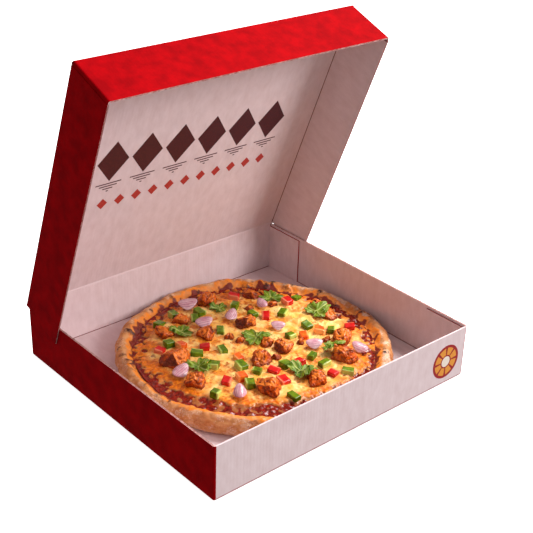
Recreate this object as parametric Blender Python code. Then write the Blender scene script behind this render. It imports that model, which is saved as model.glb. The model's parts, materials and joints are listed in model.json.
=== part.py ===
"""A round chicken pizza in its open cardboard box, as separate closed solids.

Units are metres and +Z is up. The origin is the middle of the underside of the tray.
X runs to the right along the front wall, and Y from the front wall to the back wall,
whose top edge is the fold that the lid turns on.
"""

import math
import random

import bmesh
import bpy
from mathutils import Vector, noise
from mathutils.bvhtree import BVHTree

MM = 0.001

# Board and box
BOARD = 0.0015
TRAY_WIDTH = 0.280
TRAY_DEPTH = 0.262
TRAY_HEIGHT = 0.050
FOLD_RADIUS = 0.002
TAB_LENGTH = 0.044
TAB_DROP = 0.0025
TAB_THICKNESS = 0.0012

# Lid, which closes over the outside of the tray and turns on the middle of the back
# wall's top edge
FOLD_INSET = BOARD / 2
FOLD_GAP = 0.0003
LID_SIDE_GAP = 0.0005
LID_REST_GAP = 0.0003
LID_SKIRT = 0.0485
LID_OPEN_ANGLE = math.radians(68.5)

# Pizza
PIZZA_AT = (0.011, 0.002)
PIZZA_RADIUS = 0.124
RIM_WIDTH = 0.017
RIM_CREST = 0.0066
RIM_HEIGHT = 0.0158
RIM_PUFF = 0.10
BASE_THICKNESS = 0.005
CHEESE_HEIGHT = 0.0118
SAUCE_DIP = 0.0014
TOUCH_GAP = 0.0003
AROUND = 96

# Toppings lie where the view across the box's front corner shows them. Their places are
# in mm from the pizza's middle, across to the right and away from the viewer, and the
# view is turned by this angle from the front wall.
VIEW_TURN = math.radians(-42.5)
NEAR_SIDE = VIEW_TURN - math.radians(105)

# Across, away and width of each chunk of chicken
CHICKEN = (
    (-49, 76, 19), (-70, 36, 14), (-82, 13, 18), (-44, 12, 18), (-10, 36, 19), (-67, -32, 26),
    (-46, -64, 21), (-8, 91, 16), (6, -25, 19), (57, 74, 18), (68, 56, 12), (79, 18, 20),
    (27, -1, 18), (79, -14, 24), (54, -52, 21), (15, -70, 23), (10, 5, 12),
)

# Crumbs of chicken that the cheese holds
CRUMBS = (
    (-23, 12, 9), (-14, 7, 9), (-23, 97, 9), (-7, 66, 8), (14, 75, 8), (20, -17, 8), (41, 9, 8),
    (64, 16, 8),
)

# Across, away, width and turn in degrees of each piece of onion
ONION = (
    (-66, 64, 19, 10), (-48, 30, 17, 20), (-24, 45, 15, 70), (-61, -53, 17, 50), (-9, -79, 15, 100),
    (4, 72, 13, -50), (20, 33, 14, 0), (53, 2, 16, 10), (94, 0, 16, -25),
)
ONION_TILT = math.radians(16)

# Across, away, width and turn in degrees of each coriander leaf
CORIANDER = (
    (-37, 64, 19, -60), (-68, 17, 24, -35), (1, 14, 30, -100), (-46, -42, 25, 60),
    (12, 88, 26, 100), (56, 61, 27, 40), (68, -4, 24, -10), (42, -41, 29, 30),
)

# Across and away of each dice of pepper
PEPPER = (
    (-78, 47), (-54, 53), (-57, 41), (-22, 68), (-89, 29), (-76, -5), (-50, -19), (-32, 22), (-28, -11),
    (-34, -39), (-10, -37), (-29, -79), (-4, 53), (4, -44), (-1, -64), (36, 90), (24, 59), (32, 19),
    (47, 38), (69, 33), (51, -16), (28, -29), (62, -27), (82, -37), (36, -79),
    (-24, 85), (-83, -15), (-65, -7), (-44, -8), (-13, -23), (-21, -61), (-9, -55), (28, 78), (8, 51),
    (44, 20), (58, 30), (86, 40), (40, -25), (18, -41), (27, -57), (69, -41),
)
PEPPER_SIZE = (0.0102, 0.0082, 0.0066)
PEPPER_SUNK = 0.0018

# The share of its height that a chunk keeps above whatever lifts its underside, and the
# share of its width over which each corner of its underside clears the cheese
LEAST_CROWN = 0.6
FACET_REACH = 0.18

# How far round each of its corners a leaf clears what it lies on
DRAPE_REACH = 0.0034


def clear_scene() -> None:
    """Removes every object that the file starts with."""
    for obj in list(bpy.data.objects):
        bpy.data.objects.remove(obj, do_unlink=True)


def material(name: str, colour: tuple, roughness: float) -> bpy.types.Material:
    """A plain Principled finish for one piece."""
    made = bpy.data.materials.new(name)
    made.use_nodes = True
    shader = made.node_tree.nodes["Principled BSDF"]
    shader.inputs["Base Color"].default_value = (*colour, 1.0)
    shader.inputs["Roughness"].default_value = roughness
    shader.inputs["Metallic"].default_value = 0.0
    return made


def place(name: str, shape: bmesh.types.BMesh, finish: bpy.types.Material, parent=None):
    """Turns a finished bmesh into a named object."""
    mesh = bpy.data.meshes.new(name)
    shape.to_mesh(mesh)
    shape.free()
    mesh.materials.append(finish)
    obj = bpy.data.objects.new(name, mesh)
    bpy.context.collection.objects.link(obj)
    obj.parent = parent
    return obj


def smooth(obj: bpy.types.Object, sharp_degrees: float) -> None:
    """Shades a round piece smooth, with its real edges kept."""
    obj.data.shade_smooth()
    obj.data.set_sharp_from_angle(angle=math.radians(sharp_degrees))


def empty(name: str, location: tuple, tilt: float = 0.0):
    """An empty that carries the pieces of one assembly, tilted about X."""
    made = bpy.data.objects.new(name, None)
    made.location = location
    made.rotation_euler = (tilt, 0.0, 0.0)
    bpy.context.collection.objects.link(made)
    return made


def block(low: tuple, high: tuple) -> bmesh.types.BMesh:
    """A box between two corners."""
    shape = bmesh.new()
    bmesh.ops.create_cube(shape, size=1.0)
    for vert in shape.verts:
        vert.co = Vector(b if c > 0 else a for a, b, c in zip(low, high, vert.co))
    return shape


def round_edges(shape: bmesh.types.BMesh, radius: float, chosen) -> None:
    """Rounds the edges whose middle passes the test, as a fold in board is round."""
    edges = [edge for edge in shape.edges if chosen((edge.verts[0].co + edge.verts[1].co) / 2)]
    bmesh.ops.bevel(shape, geom=edges, offset=radius, segments=3, profile=0.5, affect="EDGES")


def boolean(obj, others: list, operation: str) -> None:
    """Cuts or joins other objects with this one, applies it and removes them."""
    group = bpy.data.collections.new("operands")
    bpy.context.scene.collection.children.link(group)
    for other in others:
        bpy.context.collection.objects.unlink(other)
        group.objects.link(other)
    step = obj.modifiers.new(operation.lower(), "BOOLEAN")
    step.operation = operation
    step.solver = "EXACT"
    step.operand_type = "COLLECTION"
    step.collection = group
    depsgraph = bpy.context.evaluated_depsgraph_get()
    result = bpy.data.meshes.new_from_object(obj.evaluated_get(depsgraph))
    result.name = obj.name
    obj.modifiers.remove(step)
    obj.data = result
    for other in others:
        bpy.data.objects.remove(other, do_unlink=True)
    bpy.data.collections.remove(group)


def skin(rings: list, first_tip: Vector, last_tip: Vector) -> bmesh.types.BMesh:
    """A closed surface through rings of points, from one tip to the other.

    The bands before the middle one and those after it are split alike, so that both
    faces of a thin piece have the same triangles.
    """
    shape = bmesh.new()
    loops = [[shape.verts.new(point) for point in ring] for ring in rings]
    start = shape.verts.new(first_tip)
    end = shape.verts.new(last_tip)
    count = len(rings[0])
    middle = (len(rings) - 1) / 2
    for i in range(count):
        j = (i + 1) % count
        shape.faces.new((start, loops[0][j], loops[0][i]))
        shape.faces.new((end, loops[-1][i], loops[-1][j]))
        for k, (a, b) in enumerate(zip(loops, loops[1:])):
            if k + 0.5 <= middle:
                shape.faces.new((a[i], a[j], b[j]))
                shape.faces.new((a[i], b[j], b[i]))
            else:
                shape.faces.new((a[i], a[j], b[i]))
                shape.faces.new((a[j], b[j], b[i]))
    return shape


def waver(angle: float, detail: float, seed: float) -> float:
    """Smooth noise round a circle, between about -1 and 1."""
    return 2.0 * noise.noise(Vector((detail * math.cos(angle), detail * math.sin(angle), seed)))


def turned(across: float, away: float, turn: float) -> Vector:
    """A flat place turned by an angle."""
    return Vector((
        across * math.cos(turn) - away * math.sin(turn),
        across * math.sin(turn) + away * math.cos(turn),
        0.0,
    ))


def on_pizza(across_mm: float, away_mm: float) -> Vector:
    """A topping's place on the pizza, from its place in the view."""
    return turned(across_mm * MM, away_mm * MM, VIEW_TURN)


def make_tray() -> None:
    """The tray: floor and four walls, with the glued tabs of its corners inside."""
    half_w = TRAY_WIDTH / 2
    half_d = TRAY_DEPTH / 2
    outer = block((-half_w, -half_d, 0.0), (half_w, half_d, TRAY_HEIGHT))
    round_edges(outer, FOLD_RADIUS, lambda middle: middle.z < TRAY_HEIGHT * 0.9)
    board = material("red_board", (0.43, 0.002, 0.008), 0.5)
    tray = place("box_tray", outer, board)
    inner_w = half_w - BOARD
    inner_d = half_d - BOARD
    well = block((-inner_w, -inner_d, BOARD), (inner_w, inner_d, 2 * TRAY_HEIGHT))
    boolean(tray, [place("well", well, board)], "DIFFERENCE")
    tabs = []
    for side in (-1, 1):
        wall = side * (inner_w + BOARD / 2)
        face = side * (inner_w - TAB_THICKNESS)
        for end in (-1, 1):
            far = end * (inner_d + BOARD / 2)
            near = end * (inner_d - TAB_LENGTH)
            low = (min(wall, face), min(far, near), BOARD / 2)
            high = (max(wall, face), max(far, near), TRAY_HEIGHT - TAB_DROP)
            tabs.append(place("tab", block(low, high), board))
    boolean(tray, tabs, "UNION")


def make_lid() -> None:
    """The lid: a panel with a side skirt left and right and one in front.

    It is modelled shut, with its fold at the origin, and its empty turns it open.
    """
    hinge = empty("lid_fold", (0.0, TRAY_DEPTH / 2 - FOLD_INSET, TRAY_HEIGHT), -LID_OPEN_ANGLE)
    half_w = TRAY_WIDTH / 2 + LID_SIDE_GAP + BOARD
    length = TRAY_DEPTH - FOLD_INSET + LID_SIDE_GAP + BOARD
    behind = -(FOLD_INSET + FOLD_GAP)
    top = LID_REST_GAP + BOARD
    bottom = LID_REST_GAP - LID_SKIRT
    outer = block((-half_w, -length, bottom), (half_w, behind, top))
    round_edges(outer, FOLD_RADIUS, lambda mid: mid.y < -length / 4 and mid.z > bottom * 0.9)
    board = material("red_board_lid", (0.62, 0.004, 0.012), 0.5)
    lid = place("box_lid", outer, board, hinge)
    inner_w = half_w - BOARD
    hollow = block((-inner_w, BOARD - length, 2 * bottom), (inner_w, BOARD, LID_REST_GAP))
    boolean(lid, [place("hollow", hollow, board, hinge)], "DIFFERENCE")


def pizza_radius(angle: float) -> float:
    """The crust's outer radius, as uneven as hand-stretched dough."""
    wide = 0.011 * waver(angle, 1.3, 4.0)
    return PIZZA_RADIUS * (1.0 + wide + 0.005 * waver(angle, 4.0, 9.0) + 0.0025 * waver(angle, 9.0, 1.0))


def rim_height(angle: float) -> float:
    """The height of the rim's crest, puffed up most on the near side."""
    return RIM_HEIGHT * (1 + RIM_PUFF * math.cos(angle - NEAR_SIDE) + 0.11 * waver(angle, 2.6, 2.0))


def make_crust(parent) -> None:
    """The crust: a thin base with a puffed rim of uneven height round it."""
    angles = [2 * math.pi * i / AROUND for i in range(AROUND)]
    inner_width = RIM_WIDTH - RIM_CREST

    def ring(inset: float, height) -> list:
        """One ring of the crust, at an inset from the outline and a height for each angle."""
        points = []
        for angle in angles:
            radius = pizza_radius(angle) - inset
            points.append(Vector((radius * math.cos(angle), radius * math.sin(angle), height(angle))))
        return points

    rings = [ring(RIM_WIDTH * 0.34, lambda angle: 0.0)]
    for turn in (-58, -34, -10, 16, 42, 66, 90, 112, 134, 156):
        reach = math.cos(math.radians(turn))
        level = 0.5 + 0.5 * math.sin(math.radians(turn))
        inset = RIM_CREST - reach * (RIM_CREST if reach > 0 else inner_width)
        rings.append(ring(inset, lambda angle, level=level: rim_height(angle) * level))
    rings.append(ring(RIM_WIDTH, lambda angle: rim_height(angle) * 0.5))
    rings.append(ring(RIM_WIDTH, lambda angle: BASE_THICKNESS))
    dough = material("baked_dough", (0.62, 0.36, 0.20), 0.75)
    base = skin(rings, Vector((0, 0, 0)), Vector((0, 0, BASE_THICKNESS)))
    smooth(place("pizza_crust", base, dough, parent), 50)


def cheese_height(radius: float, angle: float) -> float:
    """The height of the melted cheese, which dips to the sauce inside the rim."""
    edge = (PIZZA_RADIUS - RIM_WIDTH) * 0.93
    dip = min(1.0, max(0.0, (radius - edge * 0.88) / (edge * 0.12)))
    dip = dip * dip * (3 - 2 * dip)
    x = radius * math.cos(angle)
    y = radius * math.sin(angle)
    lumps = noise.noise(Vector((x, y, 0.01)) * 28) * 0.0016 + noise.noise(Vector((y, x, 0.03)) * 52) * 0.0007
    return CHEESE_HEIGHT + lumps - SAUCE_DIP * dip


def wedge(size: tuple, at: Vector, turn: float, draw: random.Random) -> bmesh.types.BMesh:
    """A hand-cut dice: a box with uneven corners, tipped a little."""
    shape = block(tuple(-s / 2 for s in size), tuple(s / 2 for s in size))
    tip = draw.uniform(-0.22, 0.22)
    for vert in shape.verts:
        co = Vector(c * draw.uniform(0.82, 1.1) for c in vert.co)
        co.z += co.x * tip
        vert.co = turned(co.x, co.y, turn) + Vector((at.x, at.y, at.z + co.z))
    return shape


def lump(width: float, at: Vector, seed: float, squareness: float, floor) -> bmesh.types.BMesh:
    """A rough chunk that rests on what is under it.

    Its outline lies between a ball and a box, it is broken up by noise, and its
    underside is fitted to the height that floor gives.
    """
    draw = random.Random(seed)
    turn = draw.uniform(0, math.pi)
    half = Vector((width / 2, width / 2 * draw.uniform(0.74, 0.92), width / 2 * draw.uniform(0.58, 0.72)))
    shape = bmesh.new()
    bmesh.ops.create_icosphere(shape, subdivisions=2, radius=1.0)
    for vert in shape.verts:
        d = vert.co.normalized()
        box = (abs(d.x) ** squareness + abs(d.y) ** squareness + abs(d.z) ** squareness) ** (1 / squareness)
        rough = 0.93 + 0.2 * noise.noise(d * 1.7 + Vector((seed, seed * 0.37, 0.0)))
        co = Vector(c * h for c, h in zip(d / box * rough, half))
        spot = at + turned(co.x, co.y, turn)
        rest = floor(spot.x, spot.y) + max(0.0, co.z) * LEAST_CROWN
        vert.co = (spot.x, spot.y, max(at.z + half.z * 0.55 + co.z, rest))
    return shape


class Ground:
    """What has been laid down so far, to rest the next pieces on."""

    def __init__(self, objects: list):
        """Keeps a search tree for each piece, in the pizza's own coordinates."""
        self.trees = []
        for obj in objects:
            mesh = obj.data
            self.trees.append(BVHTree.FromPolygons([v.co for v in mesh.vertices],
                                                   [p.vertices for p in mesh.polygons]))

    def at(self, x: float, y: float) -> float:
        """The height of the highest piece at a place."""
        best = 0.0
        for tree in self.trees:
            hit = tree.ray_cast(Vector((x, y, 1.0)), Vector((0, 0, -1)))[0]
            if hit is not None:
                best = max(best, hit.z)
        return best

    def clear(self, x: float, y: float, reach: float) -> float:
        """A height that clears every piece within reach of a place."""
        best = self.at(x, y)
        for step in range(8):
            side = turned(reach, 0.0, step * math.pi / 4)
            best = max(best, self.at(x + side.x, y + side.y))
        return best + TOUCH_GAP


def make_cheese(parent):
    """The cheese in the crust's well, with the pepper dice and chicken crumbs in it."""
    spread = 18
    rings = []
    lowest = BASE_THICKNESS + TOUCH_GAP
    for level in range(spread):
        share = 1.0 if level < 2 else 1.0 - (level - 1) / (spread - 1)
        points = []
        for i in range(AROUND * 3 // 4):
            angle = 2 * math.pi * i / (AROUND * 3 // 4)
            radius = (pizza_radius(angle) - RIM_WIDTH - 2 * TOUCH_GAP) * share
            z = lowest if level == 0 else cheese_height(radius, angle)
            points.append(Vector((radius * math.cos(angle), radius * math.sin(angle), z)))
        rings.append(points)
    melted = material("melted_cheese", (0.80, 0.50, 0.16), 0.35)
    middle = Vector((0, 0, cheese_height(0.0, 0.0)))
    cheese = place("pizza_cheese", skin(rings, Vector((0, 0, lowest)), middle), melted, parent)
    top = Ground([cheese])
    draw = random.Random(11)
    pieces = []
    for across, away in PEPPER:
        at = on_pizza(across, away)
        size = tuple(s * draw.uniform(0.85, 1.12) for s in PEPPER_SIZE)
        at.z = top.at(at.x, at.y) + size[2] / 2 - PEPPER_SUNK
        pieces.append(place("dice", wedge(size, at, draw.uniform(0, math.pi), draw), melted, parent))
    for number, (across, away, width) in enumerate(CRUMBS):
        at = on_pizza(across, away)
        at.z = top.at(at.x, at.y)
        sunk = at.z - PEPPER_SUNK
        crumb = lump(width * MM, at, 50.0 + number, 3.0, lambda x, y, sunk=sunk: sunk)
        pieces.append(place("crumb", crumb, melted, parent))
    boolean(cheese, pieces, "UNION")
    smooth(cheese, 35)
    return cheese


def make_chicken(parent, cheese) -> list:
    """The chunks of roast chicken on the cheese."""
    ground = Ground([cheese])
    made = []
    for number, (across, away, width) in enumerate(CHICKEN, 1):
        at = on_pizza(across, away)
        at.z = ground.at(at.x, at.y)
        roast = material(f"roast_chicken_{number:02d}", (0.48, 0.13, 0.03), 0.5)
        reach = FACET_REACH * width * MM
        shape = lump(width * MM, at, 3.0 * number, 3.6, lambda x, y, reach=reach: ground.clear(x, y, reach))
        chunk = place(f"chicken_{number:02d}", shape, roast, parent)
        smooth(chunk, 60)
        made.append(chunk)
    return made


def make_onion(parent, cheese) -> list:
    """The pieces of red onion: short pieces of one layer, bowed up in the middle and
    leaning up at the back."""
    ground = Ground([cheese])
    sides = 12
    thickness = 0.0019
    made = []
    for number, (across, away, width, turn) in enumerate(ONION, 1):
        at = on_pizza(across, away)
        heading = VIEW_TURN + math.radians(turn)
        half_l = width * MM / 2
        half_w = half_l * 0.82
        bow = half_w * 0.46

        def sheet(share: float, raised: float) -> list:
            """One ring of a face of the piece."""
            points = []
            for i in range(sides):
                angle = 2 * math.pi * i / sides
                u = share * math.cos(angle)
                v = share * math.sin(angle) * (1 - 0.25 * abs(u))
                spot = at + turned(u * half_l, v * half_w, heading)
                back = turned(spot.x - at.x, spot.y - at.y, -VIEW_TURN).y + half_l
                z = ground.clear(spot.x, spot.y, 0.0012) + bow * (1 - v * v) + math.tan(ONION_TILT) * back + raised
                points.append(Vector((spot.x, spot.y, z)))
            return points

        low = sheet(0.0, 0.0)[0]
        rings = [sheet(0.55, 0.0), sheet(1.0, 0.0), sheet(1.0, thickness * 0.6), sheet(0.55, thickness)]
        shape = skin(rings, low, low + Vector((0, 0, thickness)))
        raw = material(f"red_onion_{number:02d}", (0.60, 0.36, 0.42), 0.3)
        piece = place(f"onion_{number:02d}", shape, raw, parent)
        smooth(piece, 50)
        made.append(piece)
    return made


def leaf_reach(angle: float) -> float:
    """The outline of a coriander leaf: three toothed lobes, from 0 to 1."""
    reach = 0.48
    for lobe, size in ((0.0, 1.0), (1.85, 0.9), (-1.85, 0.9)):
        away = math.remainder(angle - lobe, 2 * math.pi)
        reach = max(reach, size * math.exp(-((away / 0.82) ** 2)))
    return reach * (0.93 + 0.10 * math.cos(9 * angle))


def make_coriander(parent, under: list) -> None:
    """The coriander leaves: thin wavy sheets draped over what they lie on."""
    ground = Ground(under)
    sides = 22
    thickness = 0.0006
    shares = (0.5, 1.0)
    for number, (across, away, width, turn) in enumerate(CORIANDER, 1):
        at = on_pizza(across, away)
        heading = VIEW_TURN + math.radians(turn)
        spots = [at]
        for share in shares:
            for i in range(sides):
                angle = 2 * math.pi * i / sides
                reach = leaf_reach(angle) * share * width * MM / 2
                spots.append(at + turned(reach * math.cos(angle), reach * math.sin(angle), heading))
        rest = [ground.clear(spot.x, spot.y, DRAPE_REACH) for spot in spots]
        heights = list(rest)
        for _ in range(3):
            drawn = list(heights)
            for i in range(sides):
                inner = 1 + i
                outer = 1 + sides + i
                left = (i - 1) % sides
                right = (i + 1) % sides
                drawn[inner] = (heights[0] + heights[1 + left] + heights[1 + right] + heights[outer]) / 4
                drawn[outer] = (heights[inner] + heights[1 + sides + left] + heights[1 + sides + right]) / 3
            drawn[0] = sum(heights[1:1 + sides]) / sides
            heights = [max(a, b) for a, b in zip(drawn, rest)]
        points = []
        for k, (spot, z) in enumerate(zip(spots, heights)):
            curl = 0.0 if k <= sides else 0.0007 * (1 + math.sin(3.5 * k))
            points.append(Vector((spot.x, spot.y, z + curl)))
        lift = Vector((0, 0, thickness))
        inner = points[1:1 + sides]
        outer = points[1 + sides:]
        rings = [inner, outer, [p + lift for p in outer], [p + lift for p in inner]]
        shape = skin(rings, points[0], points[0] + lift)
        green = material(f"coriander_leaf_{number:02d}", (0.07, 0.24, 0.03), 0.5)
        place(f"coriander_{number:02d}", shape, green, parent)


def main() -> None:
    """Builds the box, then the pizza in it from the bottom up."""
    clear_scene()
    make_tray()
    make_lid()
    pizza = empty("pizza_place", (*PIZZA_AT, BOARD + TOUCH_GAP))
    make_crust(pizza)
    cheese = make_cheese(pizza)
    chicken = make_chicken(pizza, cheese)
    onion = make_onion(pizza, cheese)
    make_coriander(pizza, [cheese, *chicken, *onion])


main()
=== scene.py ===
"""Looks of a chicken pizza in its open cardboard box.

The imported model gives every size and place. The board of the box is built panel by
panel from two liners and a fluted core, and the pizza from its crust inwards: dough,
sauce and melted cheese, then the chunks, dice and leaves that lie on it.
"""

import json
import logging
import math
import random
from dataclasses import dataclass, field
from enum import Enum

import bmesh
import bpy
import numpy as np
from mathutils import Matrix, Vector, noise
from mathutils.bvhtree import BVHTree


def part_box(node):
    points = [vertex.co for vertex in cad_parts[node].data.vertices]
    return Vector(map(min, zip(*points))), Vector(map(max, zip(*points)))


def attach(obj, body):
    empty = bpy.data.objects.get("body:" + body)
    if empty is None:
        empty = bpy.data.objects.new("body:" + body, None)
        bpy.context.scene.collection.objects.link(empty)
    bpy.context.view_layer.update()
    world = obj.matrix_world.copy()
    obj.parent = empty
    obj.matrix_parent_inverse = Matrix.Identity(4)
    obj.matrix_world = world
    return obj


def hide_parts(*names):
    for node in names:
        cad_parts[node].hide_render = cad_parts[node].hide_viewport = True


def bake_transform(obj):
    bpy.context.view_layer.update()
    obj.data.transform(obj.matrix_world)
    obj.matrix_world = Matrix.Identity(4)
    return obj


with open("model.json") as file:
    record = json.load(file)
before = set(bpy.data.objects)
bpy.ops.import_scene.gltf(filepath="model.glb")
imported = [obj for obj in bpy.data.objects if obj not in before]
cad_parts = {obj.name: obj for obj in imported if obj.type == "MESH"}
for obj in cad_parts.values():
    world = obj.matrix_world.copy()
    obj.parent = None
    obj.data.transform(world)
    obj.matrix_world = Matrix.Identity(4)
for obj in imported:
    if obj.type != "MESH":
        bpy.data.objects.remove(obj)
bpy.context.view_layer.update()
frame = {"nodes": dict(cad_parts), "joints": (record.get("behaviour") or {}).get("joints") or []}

MM = 0.001
FULL_TURN = 2 * math.pi
FLUTE_PITCH = 3.2 * MM
EX, EY, EZ = Vector((1, 0, 0)), Vector((0, 1, 0)), Vector((0, 0, 1))
log = logging.getLogger("pizza_box")


class Body(Enum):
    """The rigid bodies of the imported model."""

    TRAY = "tray"
    LID = "lid"


class Slot(Enum):
    """The record's material slots."""

    BOARD = "board"
    DOUGH = "dough"
    CHEESE = "cheese"
    CHICKEN = "chicken"
    ONION = "onion"
    LEAF = "leaf"


class Side(Enum):
    """The edges of a panel, in its own along and up directions."""

    LEFT = "left"
    RIGHT = "right"
    BOTTOM = "bottom"
    TOP = "top"


# Nodes, trees and meshes


def colour(hex_code: str) -> tuple[float, float, float, float]:
    """Turns an sRGB hex value to linear colour.

    Args:
        hex_code: six digits, such as "C40F18".

    Returns:
        Linear red, green, blue and an alpha of 1.
    """
    parts = [int(hex_code[i:i + 2], 16) / 255 for i in (0, 2, 4)]
    linear = [p / 12.92 if p <= 0.04045 else ((p + 0.055) / 1.055) ** 2.4 for p in parts]
    return (*linear, 1.0)


def feed(tree: bpy.types.NodeTree, node: bpy.types.Node, inputs: dict) -> None:
    """Sets or links a node's inputs.

    Args:
        tree: the node's tree.
        node: the node.
        inputs: values, sockets, or nodes whose first output is meant, by input name or number.
    """
    for key, value in inputs.items():
        if isinstance(value, bpy.types.Node):
            value = value.outputs[0]
        if isinstance(value, bpy.types.NodeSocket):
            tree.links.new(value, node.inputs[key])
        else:
            node.inputs[key].default_value = value


def add(tree: bpy.types.NodeTree, kind: str, inputs: dict | None = None, **settings) -> bpy.types.Node:
    """Adds a node with its settings and links.

    Args:
        tree: the node tree that gets the node.
        kind: the node's Blender type.
        inputs: its inputs, as feed takes them.
        settings: the node's own properties.

    Returns:
        The new node.
    """
    made = tree.nodes.new(kind)
    for key, value in settings.items():
        setattr(made, key, value)
    feed(tree, made, inputs or {})
    return made


def start_tree(name: str, sizes: dict[str, str]) -> tuple[bpy.types.GeometryNodeTree, bpy.types.NodeOutputs]:
    """A new Geometry Nodes tree with named inputs.

    Args:
        name: the tree's name.
        sizes: the kind of each input, by name.

    Returns:
        The tree and its inputs as sockets.
    """
    tree = bpy.data.node_groups.new(name, "GeometryNodeTree")
    tree.interface.new_socket("Geometry", in_out="OUTPUT", socket_type="NodeSocketGeometry")
    for label, kind in sizes.items():
        tree.interface.new_socket(label, in_out="INPUT", socket_type=f"NodeSocket{kind}")
    return tree, add(tree, "NodeGroupInput").outputs


def end_tree(tree: bpy.types.GeometryNodeTree, shape: bpy.types.Node,
             finish: bpy.types.Material | bpy.types.NodeSocket) -> bpy.types.GeometryNodeTree:
    """Ends a tree in Realize Instances and Set Material.

    Args:
        tree: the tree.
        shape: the node that gives its geometry.
        finish: the material, or the input that gives it.

    Returns:
        The finished tree.
    """
    real = add(tree, "GeometryNodeRealizeInstances", {"Geometry": shape})
    dressed = add(tree, "GeometryNodeSetMaterial", {"Geometry": real, "Material": finish})
    add(tree, "NodeGroupOutput", {"Geometry": dressed})
    return tree


def placed(name: str, data: bpy.types.ID) -> bpy.types.Object:
    """A new object.

    Args:
        name: the object's name.
        data: its mesh, camera or light.

    Returns:
        The object, in the scene.
    """
    obj = bpy.data.objects.new(name, data)
    bpy.context.collection.objects.link(obj)
    return obj


def settled(obj: bpy.types.Object) -> bpy.types.Mesh:
    """Turns what an object's modifiers give to a plain mesh, and removes the object.

    Args:
        obj: the object.

    Returns:
        The finished mesh, under the object's name.
    """
    graph = bpy.context.evaluated_depsgraph_get()
    result = bpy.data.meshes.new_from_object(obj.evaluated_get(graph))
    result.name = obj.name
    bpy.data.objects.remove(obj)
    return result


def plain_mesh(name: str, tree: bpy.types.GeometryNodeTree, values: dict,
               base: bpy.types.Mesh | None = None) -> bpy.types.Mesh:
    """Runs a Geometry Nodes tree once.

    Args:
        name: the mesh's name.
        tree: the tree, whose inputs are set by their identifiers.
        values: the inputs' values, by name.
        base: the mesh that the tree starts from, if it needs one.

    Returns:
        Its result as a plain mesh.
    """
    obj = placed(name, base or bpy.data.meshes.new(name))
    step = obj.modifiers.new(name, "NODES")
    step.node_group = tree
    for item in tree.interface.items_tree:
        if item.in_out == "INPUT" and item.name in values:
            step[item.identifier] = values[item.name]
    return settled(obj)


def mesh_of(shape: bmesh.types.BMesh, name: str, *finishes: bpy.types.Material) -> bpy.types.Mesh:
    """Ends the work on a shape.

    Args:
        shape: the shape, which is freed.
        name: the mesh's name.
        finishes: its materials.

    Returns:
        The shape as a mesh.
    """
    mesh = bpy.data.meshes.new(name)
    shape.to_mesh(mesh)
    shape.free()
    for made in finishes:
        mesh.materials.append(made)
    return mesh


def cad_copy(node: str) -> bmesh.types.BMesh:
    """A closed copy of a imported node, with its loose triangles joined.

    Args:
        node: the node's name.

    Returns:
        The copy.
    """
    shape = bmesh.new()
    shape.from_mesh(frame["nodes"][node].data)
    bmesh.ops.remove_doubles(shape, verts=shape.verts, dist=0.01 * MM)
    return shape


def nodes_of(kind: str) -> list[str]:
    """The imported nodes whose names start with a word."""
    return sorted(name for name in frame["nodes"] if name.startswith(kind))


def read_points(mesh: bpy.types.Mesh, what: str = "co") -> np.ndarray:
    """Reads a mesh's points.

    Args:
        mesh: the mesh.
        what: "co" for their places or "normal" for their normals.

    Returns:
        Rows of x, y and z.
    """
    flat = np.empty(len(mesh.vertices) * 3)
    mesh.vertices.foreach_get(what, flat)
    return flat.reshape(-1, 3)


def remeshed(node: str, name: str, voxel: float, rounding: int = 1) -> bpy.types.Mesh:
    """A node's shape as an even, fine mesh.

    Args:
        node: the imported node.
        name: the new mesh's name.
        voxel: the size of its cells.
        rounding: how often its corners are smoothed.

    Returns:
        The mesh.
    """
    obj = placed(name, mesh_of(cad_copy(node), name))
    step = obj.modifiers.new("remesh", "REMESH")
    step.mode = "VOXEL"
    step.voxel_size = voxel
    soften = obj.modifiers.new("soften", "SMOOTH")
    soften.iterations = rounding
    return settled(obj)


def set_points(mesh: bpy.types.Mesh, points: np.ndarray) -> None:
    """Moves a mesh's points."""
    mesh.vertices.foreach_set("co", points.astype(np.float32).ravel())
    mesh.update()


def set_mask(mesh: bpy.types.Mesh, name: str, values: np.ndarray) -> None:
    """Stores a value from 0 to 1 at each point, for a material to read."""
    layer = mesh.attributes.new(name, "FLOAT", "POINT")
    layer.data.foreach_set("value", np.clip(values, 0, 1).astype(np.float32))


def hand_over(obj: bpy.types.Object, body: Body, slot: Slot, *nodes: str) -> bpy.types.Object:
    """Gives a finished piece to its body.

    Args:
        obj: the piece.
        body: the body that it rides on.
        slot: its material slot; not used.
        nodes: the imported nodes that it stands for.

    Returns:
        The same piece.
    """
    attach(obj, body.value)
    if nodes:
        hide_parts(*nodes)
    log.info("%s: %d faces", obj.name, len(obj.data.polygons))
    return obj


def dress(mesh: bpy.types.Mesh, name: str, finish: bpy.types.Material, slot: Slot,
          *nodes: str) -> bpy.types.Object:
    """Makes a mesh a smooth piece of the pizza.

    Args:
        mesh: the finished mesh.
        name: the piece's name.
        finish: its material.
        slot: its material slot.
        nodes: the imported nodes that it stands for.

    Returns:
        The piece, which rides on the tray.
    """
    mesh.materials.clear()
    mesh.materials.append(finish)
    mesh.shade_smooth()
    return hand_over(placed(name, mesh), Body.TRAY, slot, *nodes)


def smoothstep(low: float, high: float, value: np.ndarray) -> np.ndarray:
    """Rises smoothly from 0 at low to 1 at high."""
    t = np.clip((value - low) / (high - low), 0.0, 1.0)
    return t * t * (3 - 2 * t)


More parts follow.
